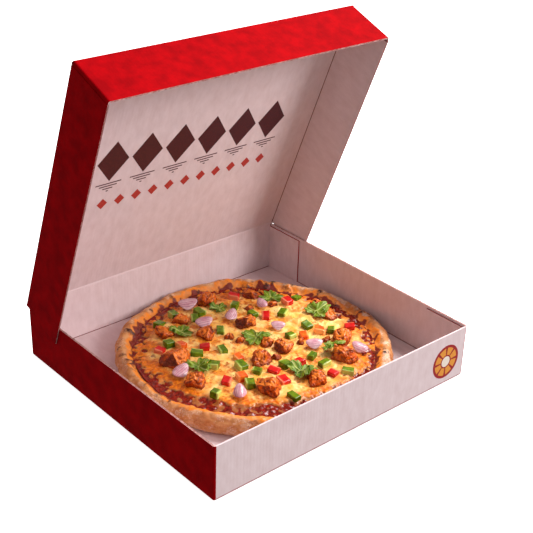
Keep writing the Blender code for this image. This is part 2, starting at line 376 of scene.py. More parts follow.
def noise_at(points: np.ndarray, size: float, seed: float) -> np.ndarray:
    """Smooth noise of about -1 to 1 at each point.

    Args:
        points: rows of x, y and z.
        size: the size of the noise's features.
        seed: moves the noise, so that two draws differ.

    Returns:
        One value a point.
    """
    shift = Vector((seed * 1.7, seed * 0.9, seed * 2.3))
    return np.array([2.0 * noise.noise(Vector(p) / size + shift) for p in points])


# Finishes


class Surface:
    """A material while it is being built, with the steps that the finishes share."""

    def __init__(self, name: str, *masks: str) -> None:
        """Starts the material.

        Args:
            name: its name.
            masks: the values at the mesh's points that it reads.
        """
        self.made = bpy.data.materials.new(name)
        self.made.use_nodes = True
        self.tree = self.made.node_tree
        source = add(self.tree, "ShaderNodeTexCoord").outputs
        self.place = source["Object"]
        self.board = source["UV"]
        self.mask = {key: add(self.tree, "ShaderNodeAttribute", attribute_name=key).outputs["Fac"]
                     for key in masks}

    def mottle(self, size: float, *pairs: tuple, **inputs) -> tuple:
        """Blotches of a real size, coloured with one pair of shades or more.

        Args:
            size: their size.
            pairs: for each pair its two hex values, and the noise's values where each is full.
            inputs: other inputs of the noise.

        Returns:
            The colour that each pair gives, and the noise.
        """
        blot = add(self.tree, "ShaderNodeTexNoise", {"Vector": self.place, "Scale": 1 / size, **inputs})
        tones = []
        for first, last, low, high in pairs:
            made = add(self.tree, "ShaderNodeValToRGB", {"Fac": blot})
            for element, position, shade in zip(made.color_ramp.elements, (low, high), (first, last)):
                element.position = position
                element.color = colour(shade)
            tones.append(made.outputs["Color"])
        return (*tones, blot)

    def cover(self, tone: bpy.types.NodeSocket, *layers: tuple) -> bpy.types.NodeSocket:
        """Lays shades over a colour, one after another.

        Args:
            tone: the colour below.
            layers: for each layer how much of it shows, and its hex value or colour.

        Returns:
            The new colour.
        """
        for amount, shade in layers:
            over = colour(shade) if isinstance(shade, str) else shade
            mix = add(self.tree, "ShaderNodeMix", {"Factor": amount, "A": tone, "B": over}, data_type="RGBA")
            tone = mix.outputs["Result"]
        return tone

    def washboard(self, where: bpy.types.NodeSocket, fibre: float, detail: float,
                  share: float) -> bpy.types.Node:
        """The relief of a liner's fibres and of the flutes under it.

        Args:
            where: the coordinates that the fibres follow.
            fibre: the size of the fibres.
            detail: the detail of the fibres.
            share: how much of the relief is the flutes'.

        Returns:
            The node that gives its height.
        """
        fibres = add(self.tree, "ShaderNodeTexNoise", {"Vector": where, "Scale": 1 / fibre, "Detail": detail})
        # a wave texture of scale 1 has a period of 2 pi / 20
        scale = FULL_TURN / (20 * FLUTE_PITCH)
        flutes = add(self.tree, "ShaderNodeTexWave", {"Vector": self.board, "Scale": scale})
        return add(self.tree, "ShaderNodeMix", {"Factor": share, "A": fibres, "B": flutes.outputs["Fac"]})

    def finish(self, tone: bpy.types.NodeSocket | tuple, inputs: dict,
               relief: tuple = ()) -> bpy.types.Material:
        """Sets the shader and ends the material.

        Args:
            tone: its colour.
            inputs: its other inputs.
            relief: the node that gives the height of its fine relief, its strength and its depth.

        Returns:
            The material.
        """
        if relief:
            height, strength, depth = relief
            bump = add(self.tree, "ShaderNodeBump",
                       {"Height": height, "Strength": strength, "Distance": depth})
            inputs = {**inputs, "Normal": bump}
        feed(self.tree, self.tree.nodes["Principled BSDF"], {"Base Color": tone, **inputs})
        return self.made


@dataclass(frozen=True)
class PrintedLiner:
    """Clay-coated paper printed solid red: satin, a little mottled, with the flutes
    of the core just showing as bands."""

    name: str = "red_printed_liner"
    deep: str = "8C030A"
    bright: str = "A8040C"

    def make(self) -> bpy.types.Material:
        """Builds the material.

        Returns:
            The material.
        """
        surface = Surface(self.name)
        tone, _ = surface.mottle(13 * MM, (self.deep, self.bright, 0.35, 0.65), Detail=5.0, Roughness=0.6)
        relief = surface.washboard(surface.place, 1.2 * MM, 2.0, share=0.35)
        shine = {"Roughness": 0.55, "Specular IOR Level": 0.03, "IOR": 1.2}
        return surface.finish(tone, shine, (relief, 0.25, 0.2 * MM))


@dataclass(frozen=True)
class PlainLiner:
    """Bare white-lined board with a pink cast: matte, fibrous, washboarded by the
    flutes under it."""

    name: str = "plain_board_liner"
    dull: str = "D8C0C1"
    pale: str = "E4CFD1"
    streaks: tuple = (1.0, 0.45, 1.0)

    def make(self) -> bpy.types.Material:
        """Builds the material.

        Returns:
            The material.
        """
        surface = Surface(self.name)
        along = add(surface.tree, "ShaderNodeMapping", {"Vector": surface.board, "Scale": self.streaks})
        tone, _ = surface.mottle(7 * MM, (self.dull, self.pale, 0.3, 0.7), Vector=along, Detail=5.0,
                                 Roughness=0.6)
        relief = surface.washboard(surface.board, 1.0 * MM, 3.0, share=0.4)
        shine = {"Roughness": 0.82, "Specular IOR Level": 0.3}
        return surface.finish(tone, shine, (relief, 0.35, 0.2 * MM))


@dataclass(frozen=True)
class CutPaper:
    """The cut edges and the fluted core of the board: raw paper, pale, fuzzy and matte."""

    name: str
    shade: str
    light: str

    def make(self) -> bpy.types.Material:
        """Builds the material.

        Returns:
            The material.
        """
        surface = Surface(self.name)
        tone, blot = surface.mottle(2.5 * MM, (self.shade, self.light, 0.35, 0.65), Detail=4.0)
        return surface.finish(tone, {"Roughness": 0.9}, (blot, 0.4, 0.2 * MM))


@dataclass(frozen=True)
class PrintInk:
    """Flexographic ink on the liner: flat colour that the paper's fibres break up."""

    name: str
    shade: str
    light: str

    def make(self) -> bpy.types.Material:
        """Builds the material.

        Returns:
            The material.
        """
        surface = Surface(self.name)
        tone, blot = surface.mottle(1.6 * MM, (self.shade, self.light, 0.3, 0.72), Detail=5.0, Roughness=0.65)
        return surface.finish(tone, {"Roughness": 0.6}, (blot, 0.15, 0.1 * MM))


@dataclass(frozen=True)
class BakedDough:
    """Baked wheat dough: dusty tan outside, with flour in places and painted light as more
    flour on one side, orange with oil on its inner slope, and burnt where it blistered."""

    name: str = "baked_dough"
    shade: str = "B87038"
    light: str = "DA9C64"
    toast: str = "9C4C1C"
    flour: str = "EACCB4"
    oil: str = "F2860A"
    sauce: str = "741505"
    char: str = "33100A"

    def make(self) -> bpy.types.Material:
        """Builds the material from the masks that the crust's points carry.

        Returns:
            The material.
        """
        layers = {"toast": (self.toast, 1.2), "flour": (self.flour, 2.0), "oil": (self.oil, 1.0),
                  "sauce": (self.sauce, 0.8), "char": (self.char, 1.4)}
        surface = Surface(self.name, *layers)
        tree, mask = surface.tree, surface.mask
        tone, _ = surface.mottle(6 * MM, (self.shade, self.light, 0.3, 0.7), Detail=5.0)
        pores = add(tree, "ShaderNodeTexNoise", {"Vector": surface.place, "Scale": 1 / (1.1 * MM),
                                                 "Detail": 4.0})
        speck = add(tree, "ShaderNodeMath", {0: pores, 1: -0.5}, operation="ADD")
        for key, (shade, grain) in layers.items():
            rough = add(tree, "ShaderNodeMath", {0: speck, 1: grain, 2: mask[key]}, operation="MULTIPLY_ADD")
            gate = add(tree, "ShaderNodeMath", {0: mask[key], 1: 0.02}, operation="GREATER_THAN")
            amount = add(tree, "ShaderNodeMath", {0: rough, 1: gate}, operation="MULTIPLY", use_clamp=True)
            tone = surface.cover(tone, (amount, shade))
        shine = add(tree, "ShaderNodeMapRange", {"Value": mask["oil"], "To Min": 0.85, "To Max": 0.42})
        inputs = {"Roughness": shine, "Subsurface Weight": 0.06, "Subsurface Radius": (0.002, 0.001, 0.0005)}
        return surface.finish(tone, inputs, (pores, 0.5, 0.5 * MM))


@dataclass(frozen=True)
class MeltedCheese:
    """Melted mozzarella: pale cream, golden where it toasted, orange where spiced oil
    ran, over a dark glossy tomato sauce that shows near the rim."""

    name: str = "melted_cheese"
    pale: str = "FCD284"
    cream: str = "F6B048"
    toast: str = "C86008"
    oil: str = "F48604"
    deep_oil: str = "CC5404"
    sauce: str = "5C0800"
    sauce_light: str = "981E02"

    def make(self) -> bpy.types.Material:
        """Builds the material from the masks that the cheese's points carry.

        Returns:
            The material.
        """
        surface = Surface(self.name, "toast", "oil", "sauce")
        mask = surface.mask
        tone, _ = surface.mottle(10 * MM, (self.cream, self.pale, 0.35, 0.6), Detail=5.0)
        oily, saucy, fine = surface.mottle(2.2 * MM, (self.deep_oil, self.oil, 0.35, 0.6),
                                           (self.sauce, self.sauce_light, 0.35, 0.7), Detail=4.0)
        tone = surface.cover(tone, (mask["oil"], oily), (mask["toast"], self.toast), (mask["sauce"], saucy))
        shine, gloss = (add(surface.tree, "ShaderNodeMapRange",
                            {"Value": mask["sauce"], "To Min": dry, "To Max": wet})
                        for dry, wet in ((0.42, 0.26), (0.05, 0.2)))
        inputs = {"Roughness": shine, "Coat Weight": gloss, "Coat Roughness": 0.18,
                  "Specular IOR Level": 0.22, "Subsurface Weight": 0.12,
                  "Subsurface Radius": (0.003, 0.0015, 0.0006)}
        return surface.finish(tone, inputs, (fine, 0.3, 0.6 * MM))


@dataclass(frozen=True)
class RoastChicken:
    """Chicken roasted in a spiced marinade: orange-brown, oily, charred on its edges,
    with paler meat where it was cut; its char colour also lays painted shade low down and in crevices."""

    name: str = "roast_chicken"
    deep: str = "982A02"
    warm: str = "E06206"
    meat: str = "F08628"
    char: str = "4A1004"

    def make(self) -> bpy.types.Material:
        """Builds the material from the masks that the chunks' points carry.

        Returns:
            The material.
        """
        surface = Surface(self.name, "meat", "char")
        tone, _ = surface.mottle(4.5 * MM, (self.deep, self.warm, 0.32, 0.62), Detail=6.0, Roughness=0.6)
        fibre = add(surface.tree, "ShaderNodeTexNoise",
                    {"Vector": surface.place, "Scale": 1 / (0.9 * MM), "Detail": 3.0})
        tone = surface.cover(tone, (surface.mask["meat"], self.meat), (surface.mask["char"], self.char))
        inputs = {"Roughness": 0.38, "Specular IOR Level": 0.25, "Coat Weight": 0.18, "Coat Roughness": 0.2}
        return surface.finish(tone, inputs, (fibre, 0.5, 0.5 * MM))


@dataclass(frozen=True)
class Vegetable:
    """A raw vegetable: a glossy skin, and wet flesh of another colour where it was cut."""

    name: str
    skin: str
    skin_light: str
    flesh: str
    mark: float = 4 * MM
    roughness: float = 0.22

    def make(self) -> bpy.types.Material:
        """Builds the material; the points' flesh mask says where it was cut.

        Returns:
            The material.
        """
        surface = Surface(self.name, "flesh")
        tone, blot = surface.mottle(self.mark, (self.skin, self.skin_light, 0.35, 0.68), Detail=3.0)
        tone = surface.cover(tone, (surface.mask["flesh"], self.flesh))
        inputs = {"Roughness": self.roughness, "Specular IOR Level": 0.35, "Subsurface Weight": 0.1,
                  "Subsurface Radius": (0.0015, 0.0015, 0.0008)}
        return surface.finish(tone, inputs, (blot, 0.2, 0.3 * MM))


@dataclass(frozen=True)
class RedOnion:
    """Red onion: translucent pale lilac flesh with fine pink ribs along it."""

    name: str = "red_onion"
    pale: str = "E2BCC2"
    lilac: str = "C88C98"
    rib: str = "984A68"
    rim: str = "F2E0E2"
    ribs: int = 8

    def make(self) -> bpy.types.Material:
        """Builds the material; across runs over the ribs, and edge is a mask.

        Returns:
            The material.
        """
        surface = Surface(self.name, "across", "edge")
        tree, mask = surface.tree, surface.mask
        tone, blot = surface.mottle(5 * MM, (self.lilac, self.pale, 0.35, 0.65), Detail=2.0)
        wave = add(tree, "ShaderNodeMath", {0: mask["across"], 1: FULL_TURN * self.ribs},
                   operation="MULTIPLY")
        sway = add(tree, "ShaderNodeMath", {0: blot, 1: 3.0, 2: wave}, operation="MULTIPLY_ADD")
        rib = add(tree, "ShaderNodeMath", {0: sway}, operation="SINE")
        amount = add(tree, "ShaderNodeMapRange",
                     {"Value": rib, "From Min": 0.0, "From Max": 1.0, "To Max": 0.55})
        tone = surface.cover(tone, (amount, self.rib), (mask["edge"], self.rim))
        inputs = {"Roughness": 0.26, "Subsurface Weight": 0.2, "Subsurface Radius": (0.002, 0.0012, 0.0012)}
        return surface.finish(tone, inputs, (rib, 0.15, 0.2 * MM))


@dataclass(frozen=True)
class CorianderLeaf:
    """Fresh coriander: deep green, paler along its veins and at its tips, satin."""

    name: str = "coriander_leaf"
    deep: str = "446606"
    fresh: str = "7C9016"
    vein: str = "C4C878"

    def make(self) -> bpy.types.Material:
        """Builds the material; vein is a mask at the leaf's points.

        Returns:
            The material.
        """
        surface = Surface(self.name, "vein")
        tone, blot = surface.mottle(6 * MM, (self.deep, self.fresh, 0.35, 0.65), Detail=4.0)
        tone = surface.cover(tone, (surface.mask["vein"], self.vein))
        inputs = {"Roughness": 0.42, "Specular IOR Level": 0.25, "Subsurface Weight": 0.08,
                  "Subsurface Radius": (0.0005, 0.001, 0.0003)}
        return surface.finish(tone, inputs, (blot, 0.3, 0.4 * MM))


# Board of the box


@dataclass
class Panel:
    """One flat panel of board, which bows a little between its folds.

    The outer face passes through corner, along and up; the board lies behind it.
    """

    corner: Vector
    along: Vector
    up: Vector
    width: float
    height: float
    bow: float = 0.0
    place: Matrix = field(default_factory=Matrix)
    bow_free: Side = Side.TOP

    def point(self, u: float, v: float, depth: float) -> Vector:
        """A point of the panel in the model's frame.

        Args:
            u: distance along from the corner.
            v: distance up from the corner.
            depth: distance behind the outer face.

        Returns:
            The point.
        """
        outward = self.along.cross(self.up)
        across = min(1.0, max(0.0, u / self.width))
        rise = v / self.height if self.bow_free is Side.TOP else 1 - v / self.height
        swell = self.bow * math.sin(math.pi * across) * min(1.0, max(0.0, rise)) ** 1.5
        return self.place @ (self.corner + self.along * u + self.up * v + outward * (swell - depth))


class BoardShape:
    """Gathers panels, folds and edges into one mesh with its own UV map in metres."""

    # CREASE is painted shade: a dark liner on the insides of the folds and on the backs of the tucked flaps
    OUTER, INNER, CUT, CREASE = range(4)
    CELL = 20 * MM

    def __init__(self) -> None:
        """Starts with an empty mesh."""
        self.mesh = bmesh.new()
        self.uv = self.mesh.loops.layers.uv.new("board")

    def face(self, corners: list, spots: list, finish: int) -> None:
        """Adds one face.

        Args:
            corners: its vertices, anticlockwise seen from outside.
            spots: its corners on the board, in metres.
            finish: the number of its material.
        """
        made = self.mesh.faces.new(corners)
        made.material_index = finish
        for loop, spot in zip(made.loops, spots):
            loop[self.uv].uv = spot

    def slab(self, panel: Panel, u: tuple, v: tuple, depth: tuple, finishes: tuple) -> None:
        """Adds a closed slab of a panel, on a grid that lets it bow.

        Args:
            panel: the panel that places it.
            u: its reach along.
            v: its reach up.
            depth: its front and back, behind the outer face.
            finishes: material numbers of its front, back and edges.
        """
        across = max(1, round((u[1] - u[0]) / self.CELL))
        high = max(1, round((v[1] - v[0]) / self.CELL))
        us = [u[0] + (u[1] - u[0]) * i / across for i in range(across + 1)]
        vs = [v[0] + (v[1] - v[0]) * j / high for j in range(high + 1)]
        front, back = [[[self.mesh.verts.new(panel.point(a, b, d)) for b in vs] for a in us] for d in depth]
        for i in range(across):
            for j in range(high):
                cell = ((i, j), (i + 1, j), (i + 1, j + 1), (i, j + 1))
                spots = [(us[a], vs[b]) for a, b in cell]
                self.face([front[a][b] for a, b in cell], spots, finishes[0])
                self.face([back[a][b] for a, b in cell[::-1]], spots[::-1], finishes[1])
        rim = [(i, 0) for i in range(across)] + [(across, j) for j in range(high)]
        rim += [(i, high) for i in range(across, 0, -1)] + [(0, j) for j in range(high, 0, -1)]
        for (i, j), (k, m) in zip(rim, rim[1:] + rim[:1]):
            spots = [(us[i], vs[j]), (us[k], vs[m])] * 2
            self.face([back[i][j], back[k][m], front[k][m], front[i][j]], spots, finishes[2])

    def fold(self, start: Vector, end: Vector, first: Vector, second: Vector, radii: tuple, finishes: tuple,
             place: Matrix, steps: int = 6) -> None:
        """Adds a quarter-round fold between two panels.

        Args:
            start: where the fold's centre line starts.
            end: where it ends.
            first: the outward direction of the panel it leaves.
            second: the outward direction of the panel it joins.
            radii: its outer and inner radius.
            finishes: material numbers of its outside, inside and ends.
            place: from the panel's own frame to the model's.
            steps: its number of facets.
        """
        turns = [math.pi / 2 * k / steps for k in range(steps + 1)]
        ways = [first * math.cos(turn) + second * math.sin(turn) for turn in turns]
        a, b = [[self.mesh.verts.new(place @ (centre + way * radius)) for radius in radii for way in ways]
                for centre in (start, end)]
        n = steps + 1
        length = (end - start).length
        flip = first.cross(second).dot(end - start) < 0
        for k in range(steps):
            low, high = radii[0] * turns[k], radii[0] * turns[k + 1]
            spots = [(0.0, low), (0.0, high), (length, high), (length, low)]
            outer = [a[k], a[k + 1], b[k + 1], b[k]]
            inner = [b[n + k], b[n + k + 1], a[n + k + 1], a[n + k]]
            self.face(outer if flip else outer[::-1], spots, finishes[0])
            self.face(inner if flip else inner[::-1], spots, finishes[1])
            for ring, other in ((a, False), (b, True)):
                cap = [ring[k], ring[k + 1], ring[n + k + 1], ring[n + k]]
                self.face(cap[::-1] if other != flip else cap, spots, finishes[2])
        for k in (0, steps):
            side = [a[k], b[k], b[n + k], a[n + k]]
            spots = [(0, 0), (length, 0), (length, 0), (0, 0)]
            self.face(side[::-1] if (k == 0) == flip else side, spots, finishes[2])

    def corner(self, centre: Vector, outs: tuple, radius: float, place: Matrix, steps: int = 5) -> None:
        """Adds the eighth of a ball where three folds meet.

        Args:
            centre: the ball's middle.
            outs: the outward directions of the three panels.
            radius: its radius.
            place: from the panels' own frame to the model's.
            steps: its number of facets each way.
        """
        a, b, c = outs
        turns = [math.pi / 2 * k / steps for k in range(steps + 1)]
        rows = []
        flats = [a * math.cos(turn) + b * math.sin(turn) for turn in turns]
        for polar in turns:
            ways = [flat * math.cos(polar) + c * math.sin(polar) for flat in flats]
            rows.append([self.mesh.verts.new(place @ (centre + way * radius)) for way in ways])
        for low, high in zip(rows, rows[1:]):
            for j in range(steps):
                self.face([low[j], low[j + 1], high[j + 1], high[j]], [(0, 0)] * 4, self.OUTER)

    def finish(self, name: str, finishes: list) -> bpy.types.Object:
        """Makes the object, with every face pointing outwards.

        Args:
            name: its name.
            finishes: its materials, in the order of their numbers.

        Returns:
            The object.
        """
        bmesh.ops.recalc_face_normals(self.mesh, faces=self.mesh.faces)
        return placed(name, mesh_of(self.mesh, name, *finishes))


@dataclass
class FluteRibbon:
    """The wavy paper of the board's core, where a cut edge shows it."""

    swing: float = 0.42 * MM
    depth: float = 0.6 * MM
    paper: float = 0.22 * MM
    points_a_wave: int = 8

    def tree(self, finish: bpy.types.Material) -> bpy.types.GeometryNodeTree:
        """Builds the Geometry Nodes tree that sweeps the paper along a wave.

        Args:
            finish: the paper's material.

        Returns:
            The tree.
        """
        names = ("Length", "Pitch", "Swing", "Depth", "Paper")
        tree, given = start_tree("flute_ribbon", {name: "Float" for name in names})
        end = add(tree, "ShaderNodeCombineXYZ", {"X": given["Length"]})
        line = add(tree, "GeometryNodeCurvePrimitiveLine", {"End": end})
        waves = add(tree, "ShaderNodeMath", {0: given["Length"], 1: given["Pitch"]}, operation="DIVIDE")
        count = add(tree, "ShaderNodeMath", {0: waves, 1: float(self.points_a_wave)}, operation="MULTIPLY")
        fine = add(tree, "GeometryNodeResampleCurve", {"Curve": line, "Count": count})
        apart = add(tree, "ShaderNodeSeparateXYZ", {0: add(tree, "GeometryNodeInputPosition")})
        turn = add(tree, "ShaderNodeMath", {0: apart, 1: given["Pitch"]}, operation="DIVIDE")
        angle = add(tree, "ShaderNodeMath", {0: turn, 1: FULL_TURN}, operation="MULTIPLY")
        wave = add(tree, "ShaderNodeMath", {0: angle}, operation="SINE")
        sway = add(tree, "ShaderNodeMath", {0: wave, 1: given["Swing"]}, operation="MULTIPLY")
        offset = add(tree, "ShaderNodeCombineXYZ", {"Y": sway})
        waved = add(tree, "GeometryNodeSetPosition", {"Geometry": fine, "Offset": offset})
        upright = add(tree, "GeometryNodeSetCurveNormal", {"Curve": waved}, mode="Z_UP")
        strip = add(tree, "GeometryNodeCurvePrimitiveQuadrilateral",
                    {"Width": given["Paper"], "Height": given["Depth"]})
        swept = add(tree, "GeometryNodeCurveToMesh",
                    {"Curve": upright, "Profile Curve": strip, "Fill Caps": True})
        return end_tree(tree, swept, finish)

    def sweep(self, length: float, tree: bpy.types.GeometryNodeTree) -> bpy.types.Mesh:
        """Makes one ribbon.

        Args:
            length: its length.
            tree: the tree that makes it.

        Returns:
            The ribbon as a plain mesh along +X.
        """
        return plain_mesh("ribbon", tree, {"Length": length, "Pitch": FLUTE_PITCH, "Swing": self.swing,
                                           "Depth": self.depth, "Paper": self.paper})


@dataclass
class CardboardBox:
    """The box: a tray with a rolled front wall, and a lid with three skirts."""

    board: float = 1.5 * MM
    liner: float = 0.28 * MM
    fold_radius: float = 2.0 * MM
    core_inset: float = 0.6 * MM
    bow: float = 0.5 * MM
    wall_bow: float = 0.2 * MM
    ribbon_end: float = 0.2 * MM
    ribbon_inset: float = 0.1 * MM
    tab_length: float = 44 * MM
    tab_board: float = 1.2 * MM
    tab_drop: float = 2.5 * MM
    seam: float = 3.4 * MM
    seam_depth: float = 0.7 * MM
    seam_rise: float = 0.3 * MM
    tuck: float = 2.0 * MM
    fold_lap: float = 0.5 * MM

    def __post_init__(self) -> None:
        """Reads the sizes of the tray, the lid's fold and its opening from the frame."""
        self.low, self.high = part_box("box_tray")
        joint = frame["joints"][0]
        self.hinge = Vector(joint["pos_m"])
        self.opened = Matrix.Rotation(math.radians(joint["range_deg"][0]), 4, "X")
        self.lid_place = Matrix.Translation(self.hinge) @ self.opened
        shut = [self.lid_place.inverted() @ v.co for v in frame["nodes"]["box_lid"].data.vertices]
        points = np.array([tuple(p) for p in shut])
        self.lid_low = Vector(points.min(0))
        self.lid_high = Vector(points.max(0))
        self.core = CutPaper("fluted_core_paper", "BC807A", "E4BCB4").make()
        # the last finish is painted shade, a dark liner for the insides of the folds
        self.finishes = [PrintedLiner().make(), PlainLiner().make(),
                         CutPaper("cut_board_edge", "B87672", "E6C0BC").make(),
                         PlainLiner("crease_shade_liner", "7C4E4A", "9C6E6A").make()]
        self.radii = (self.fold_radius, self.fold_radius - self.board)
        self.flutes = FluteRibbon()
        self.flute_tree = self.flutes.tree(self.core)
        self.ribbons = {Body.TRAY: [], Body.LID: []}

    def board_panel(self, shape: BoardShape, panel: Panel, body: Body, raw: tuple = (),
                    outer: int = BoardShape.OUTER, edge: int = BoardShape.CUT) -> None:
        """Adds a panel of two liners and a core, with flutes in its raw edges.

        Args:
            shape: the mesh that gets it.
            panel: its place and size.
            body: the body that its flutes ride on.
            raw: the sides whose cut edge shows.
            outer: material number of its outer face.
            edge: material number of its edges.
        """
        u = (0.0, panel.width)
        v = (0.0, panel.height)
        back = (self.board - self.liner, self.board)
        shape.slab(panel, u, v, (0.0, self.liner), (outer, BoardShape.CUT, edge))
        shape.slab(panel, u, v, back, (BoardShape.CUT, BoardShape.INNER, edge))
        inset = {side: self.core_inset if side in raw else 0.0 for side in Side}
        core_u = (inset[Side.LEFT], panel.width - inset[Side.RIGHT])
        core_v = (inset[Side.BOTTOM], panel.height - inset[Side.TOP])
        shape.slab(panel, core_u, core_v, (self.liner, back[0]), (BoardShape.CUT, BoardShape.CUT, edge))
        for side in raw:
            self.ribbon_along(panel, side, body)

    def ribbon_along(self, panel: Panel, side: Side, body: Body) -> None:
        """Lays a fluted ribbon in one cut edge of a panel.

        Args:
            panel: the panel.
            side: the edge.
            body: the body that the ribbon rides on.
        """
        upright = side in (Side.LEFT, Side.RIGHT)
        length = (panel.height if upright else panel.width) - 2 * self.ribbon_end
        mesh = self.flutes.sweep(length, self.flute_tree)
        near = self.ribbon_inset + self.flutes.depth / 2
        for vert in mesh.vertices:
            run = vert.co.x + self.ribbon_end
            depth = self.board / 2 + vert.co.y
            inward = near + vert.co.z
            reach = {
                Side.TOP: (run, panel.height - inward),
                Side.BOTTOM: (run, inward),
                Side.LEFT: (inward, run),
                Side.RIGHT: (panel.width - inward, run),
            }[side]
            vert.co = panel.point(*reach, depth)
        self.ribbons[body].append(mesh)

    def join_ribbons(self, body: Body) -> bpy.types.Object:
        """Joins a body's ribbons into one piece.

        Args:
            body: the body.

        Returns:
            The piece.
        """
        shape = bmesh.new()
        for mesh in self.ribbons[body]:
            shape.from_mesh(mesh)
        bmesh.ops.recalc_face_normals(shape, faces=shape.faces)
        name = f"{body.value}_flutes"
        return placed(name, mesh_of(shape, name, self.core))

    def build_tray(self) -> bpy.types.Object:
        """Builds the tray: floor, walls, rounded folds and corner tabs.

        Returns:
            The tray's board.
        """
        r = self.fold_radius
        x0, y0, z0 = self.low
        x1, y1, z1 = self.high
        wide, deep, tall = x1 - x0 - 2 * r, y1 - y0 - 2 * r, z1 - z0 - r
        low = z0 + r
        shape = BoardShape()
        floor = Panel(Vector((x0 + r, y1 - r, z0)), EX, -EY, wide, deep)
        self.board_panel(shape, floor, Body.TRAY, outer=BoardShape.INNER)
        walls = (
            ((x0 + r, y0, low), EX, wide, tall - self.board / 2, 0.0, (), BoardShape.INNER),
            ((x1, y0 + r, low), EY, deep, tall, self.wall_bow, (Side.TOP,), BoardShape.OUTER),
            ((x1 - r, y1, low), -EX, wide, tall, 0.0, (), BoardShape.OUTER),
            ((x0, y1 - r, low), -EY, deep, tall, self.wall_bow, (Side.TOP,), BoardShape.OUTER),
        )
        for corner, along, length, height, bow, raw, outer in walls:
            panel = Panel(Vector(corner), along, EZ, length, height, bow)
            self.board_panel(shape, panel, Body.TRAY, raw, outer)
        # the insides of the folds are painted shade, in the dark crease liner
        paints = (BoardShape.OUTER, BoardShape.CREASE, BoardShape.CUT)
        still = Matrix()
        corners = [Vector((x, y, low)) for x, y in ((x0 + r, y0 + r), (x1 - r, y0 + r), (x1 - r, y1 - r),
                                                    (x0 + r, y1 - r))]
        outs = [-EY, EX, EY, -EX]
        for k in range(4):
            start, end = corners[k], corners[(k + 1) % 4]
            out, following = outs[k], outs[(k + 1) % 4]
            shape.fold(start, end, -EZ, out, self.radii, paints, still)
            shape.fold(end, Vector((end.x, end.y, z1)), out, following, self.radii, paints, still)
            shape.corner(end, (out, following, -EZ), r, still)
        self.rolled_edge(shape, (x0 + r, x1 - r), y0 + self.board / 2, z1 - self.board / 2)
        for x, turn in ((x0 + self.board, 1), (x1 - self.board, -1)):
            for y, way in ((y0 + self.board, 1), (y1 - self.board, -1)):
                self.corner_tab(shape, (x, y), turn, way, (z0 + self.board, z1 - self.tab_drop))
        return shape.finish("tray_board", self.finishes)

    def rolled_edge(self, shape: BoardShape, reach: tuple, y: float, z: float) -> None:
        """Adds the front wall's top edge, where the liner is rolled over the board.

        Args:
            shape: the mesh that gets it.
            reach: its two ends along X.
            y: the place of its middle line.
            z: the height of its middle line.
        """
        half = self.board / 2
        steps = 8
        turns = [math.pi * k / steps for k in range(steps + 1)]
        left, right = [[shape.mesh.verts.new((x, y - half * math.cos(turn), z + half * math.sin(turn)))
                        for turn in turns] for x in reach]
        spots = [(reach[0], 0.0), (reach[1], 0.0), (reach[1], MM), (reach[0], MM)]
        for k in range(steps):
            shape.face([left[k], right[k], right[k + 1], left[k + 1]], spots, BoardShape.INNER)
        for ring in (left, right[::-1]):
            shape.face(ring, [(0, 0)] * len(ring), BoardShape.CUT)

    def corner_tab(self, shape: BoardShape, at: tuple, turn: int, way: int, heights: tuple) -> None:
        """Adds a glued tab inside a side wall, from a corner along the wall, with its
        edges in the red print as painted shade, a dark line along the tab.

        Args:
            shape: the mesh that gets it.
            at: the inner faces of the side wall and of the end wall.
            turn: 1 if the wall is on the left, -1 on the right.
            way: 1 if the tab runs to the back, -1 to the front.
            heights: its bottom and top.
        """
        x, y = at
        along = EY * way
        if along.cross(EZ).x * turn < 0:
            along = -along
            y += way * self.tab_length
        corner = Vector((x + turn * self.tab_board, y, heights[0]))
        panel = Panel(corner, along, EZ, self.tab_length, heights[1] - heights[0])
        # the tab's edges take the red print as painted shade, a dark line along the tab
        paints = (BoardShape.INNER, BoardShape.CUT, BoardShape.OUTER)
        shape.slab(panel, (0.0, panel.width), (0.0, panel.height), (0.0, self.tab_board), paints)

    def build_lid(self) -> bpy.types.Object:
        """Builds the lid: panel and skirts, with the seams of its front corners.

        Returns:
            The lid's board.
        """
        r, lapped, place = self.fold_radius, self.seam_depth, self.lid_place
        x0, y0, z0 = self.lid_low
        x1, y1, z1 = self.lid_high
        tall = z1 - z0 - r
        side = y1 - y0 - self.seam
        shape = BoardShape()
        top = Panel(Vector((x0 + r, y0 + r, z1)), EX, EY, x1 - x0 - 2 * r, y1 - y0 - r, place=place)
        self.board_panel(shape, top, Body.LID)
        skirts = (
            ((x0, y1, z0), -EY, side, BoardShape.OUTER),
            ((x1, y0 + self.seam, z0), EY, side, BoardShape.OUTER),
            ((x0 + r + lapped, y0, z0), EX, x1 - x0 - 2 * (r + lapped), BoardShape.CUT),
        )
        for corner, along, length, edge in skirts:
            panel = Panel(Vector(corner), along, EZ, length, tall, self.bow, place, Side.BOTTOM)
            self.board_panel(shape, panel, Body.LID, (Side.BOTTOM,), edge=edge)
        # the insides of the folds and the backs of the flaps are painted shade, in the dark crease liner
        paints = (BoardShape.OUTER, BoardShape.CREASE, BoardShape.CUT)
        left, right = Vector((x0 + r, y0 + r, z1 - r)), Vector((x1 - r, y0 + r, z1 - r))
        for start, end, out in ((left, Vector((left.x, y1, left.z)), -EX),
                                (right, Vector((right.x, y1, right.z)), EX), (left, right, -EY)):
            shape.fold(start, end, out, EZ, self.radii, paints, place)
        for centre, out in ((left, -EX), (right, EX)):
            high = centre - out * lapped
            low = Vector((high.x, high.y, z0 + self.seam_rise))
            shape.fold(low, high, -EY, out, self.radii, paints, place)
            shape.corner(centre, (out, -EY, EZ), r, place)
            width = self.seam - r + self.tuck
            corner = low + out * r
            if out.x < 0:
                corner.y += width
            flap = Panel(corner, EY * out.x, EZ, width, tall - self.seam_rise, place=place)
            shape.slab(flap, (0.0, flap.width), (0.0, flap.height), (0.0, self.board - lapped), paints)
        return shape.finish("lid_board", self.finishes)

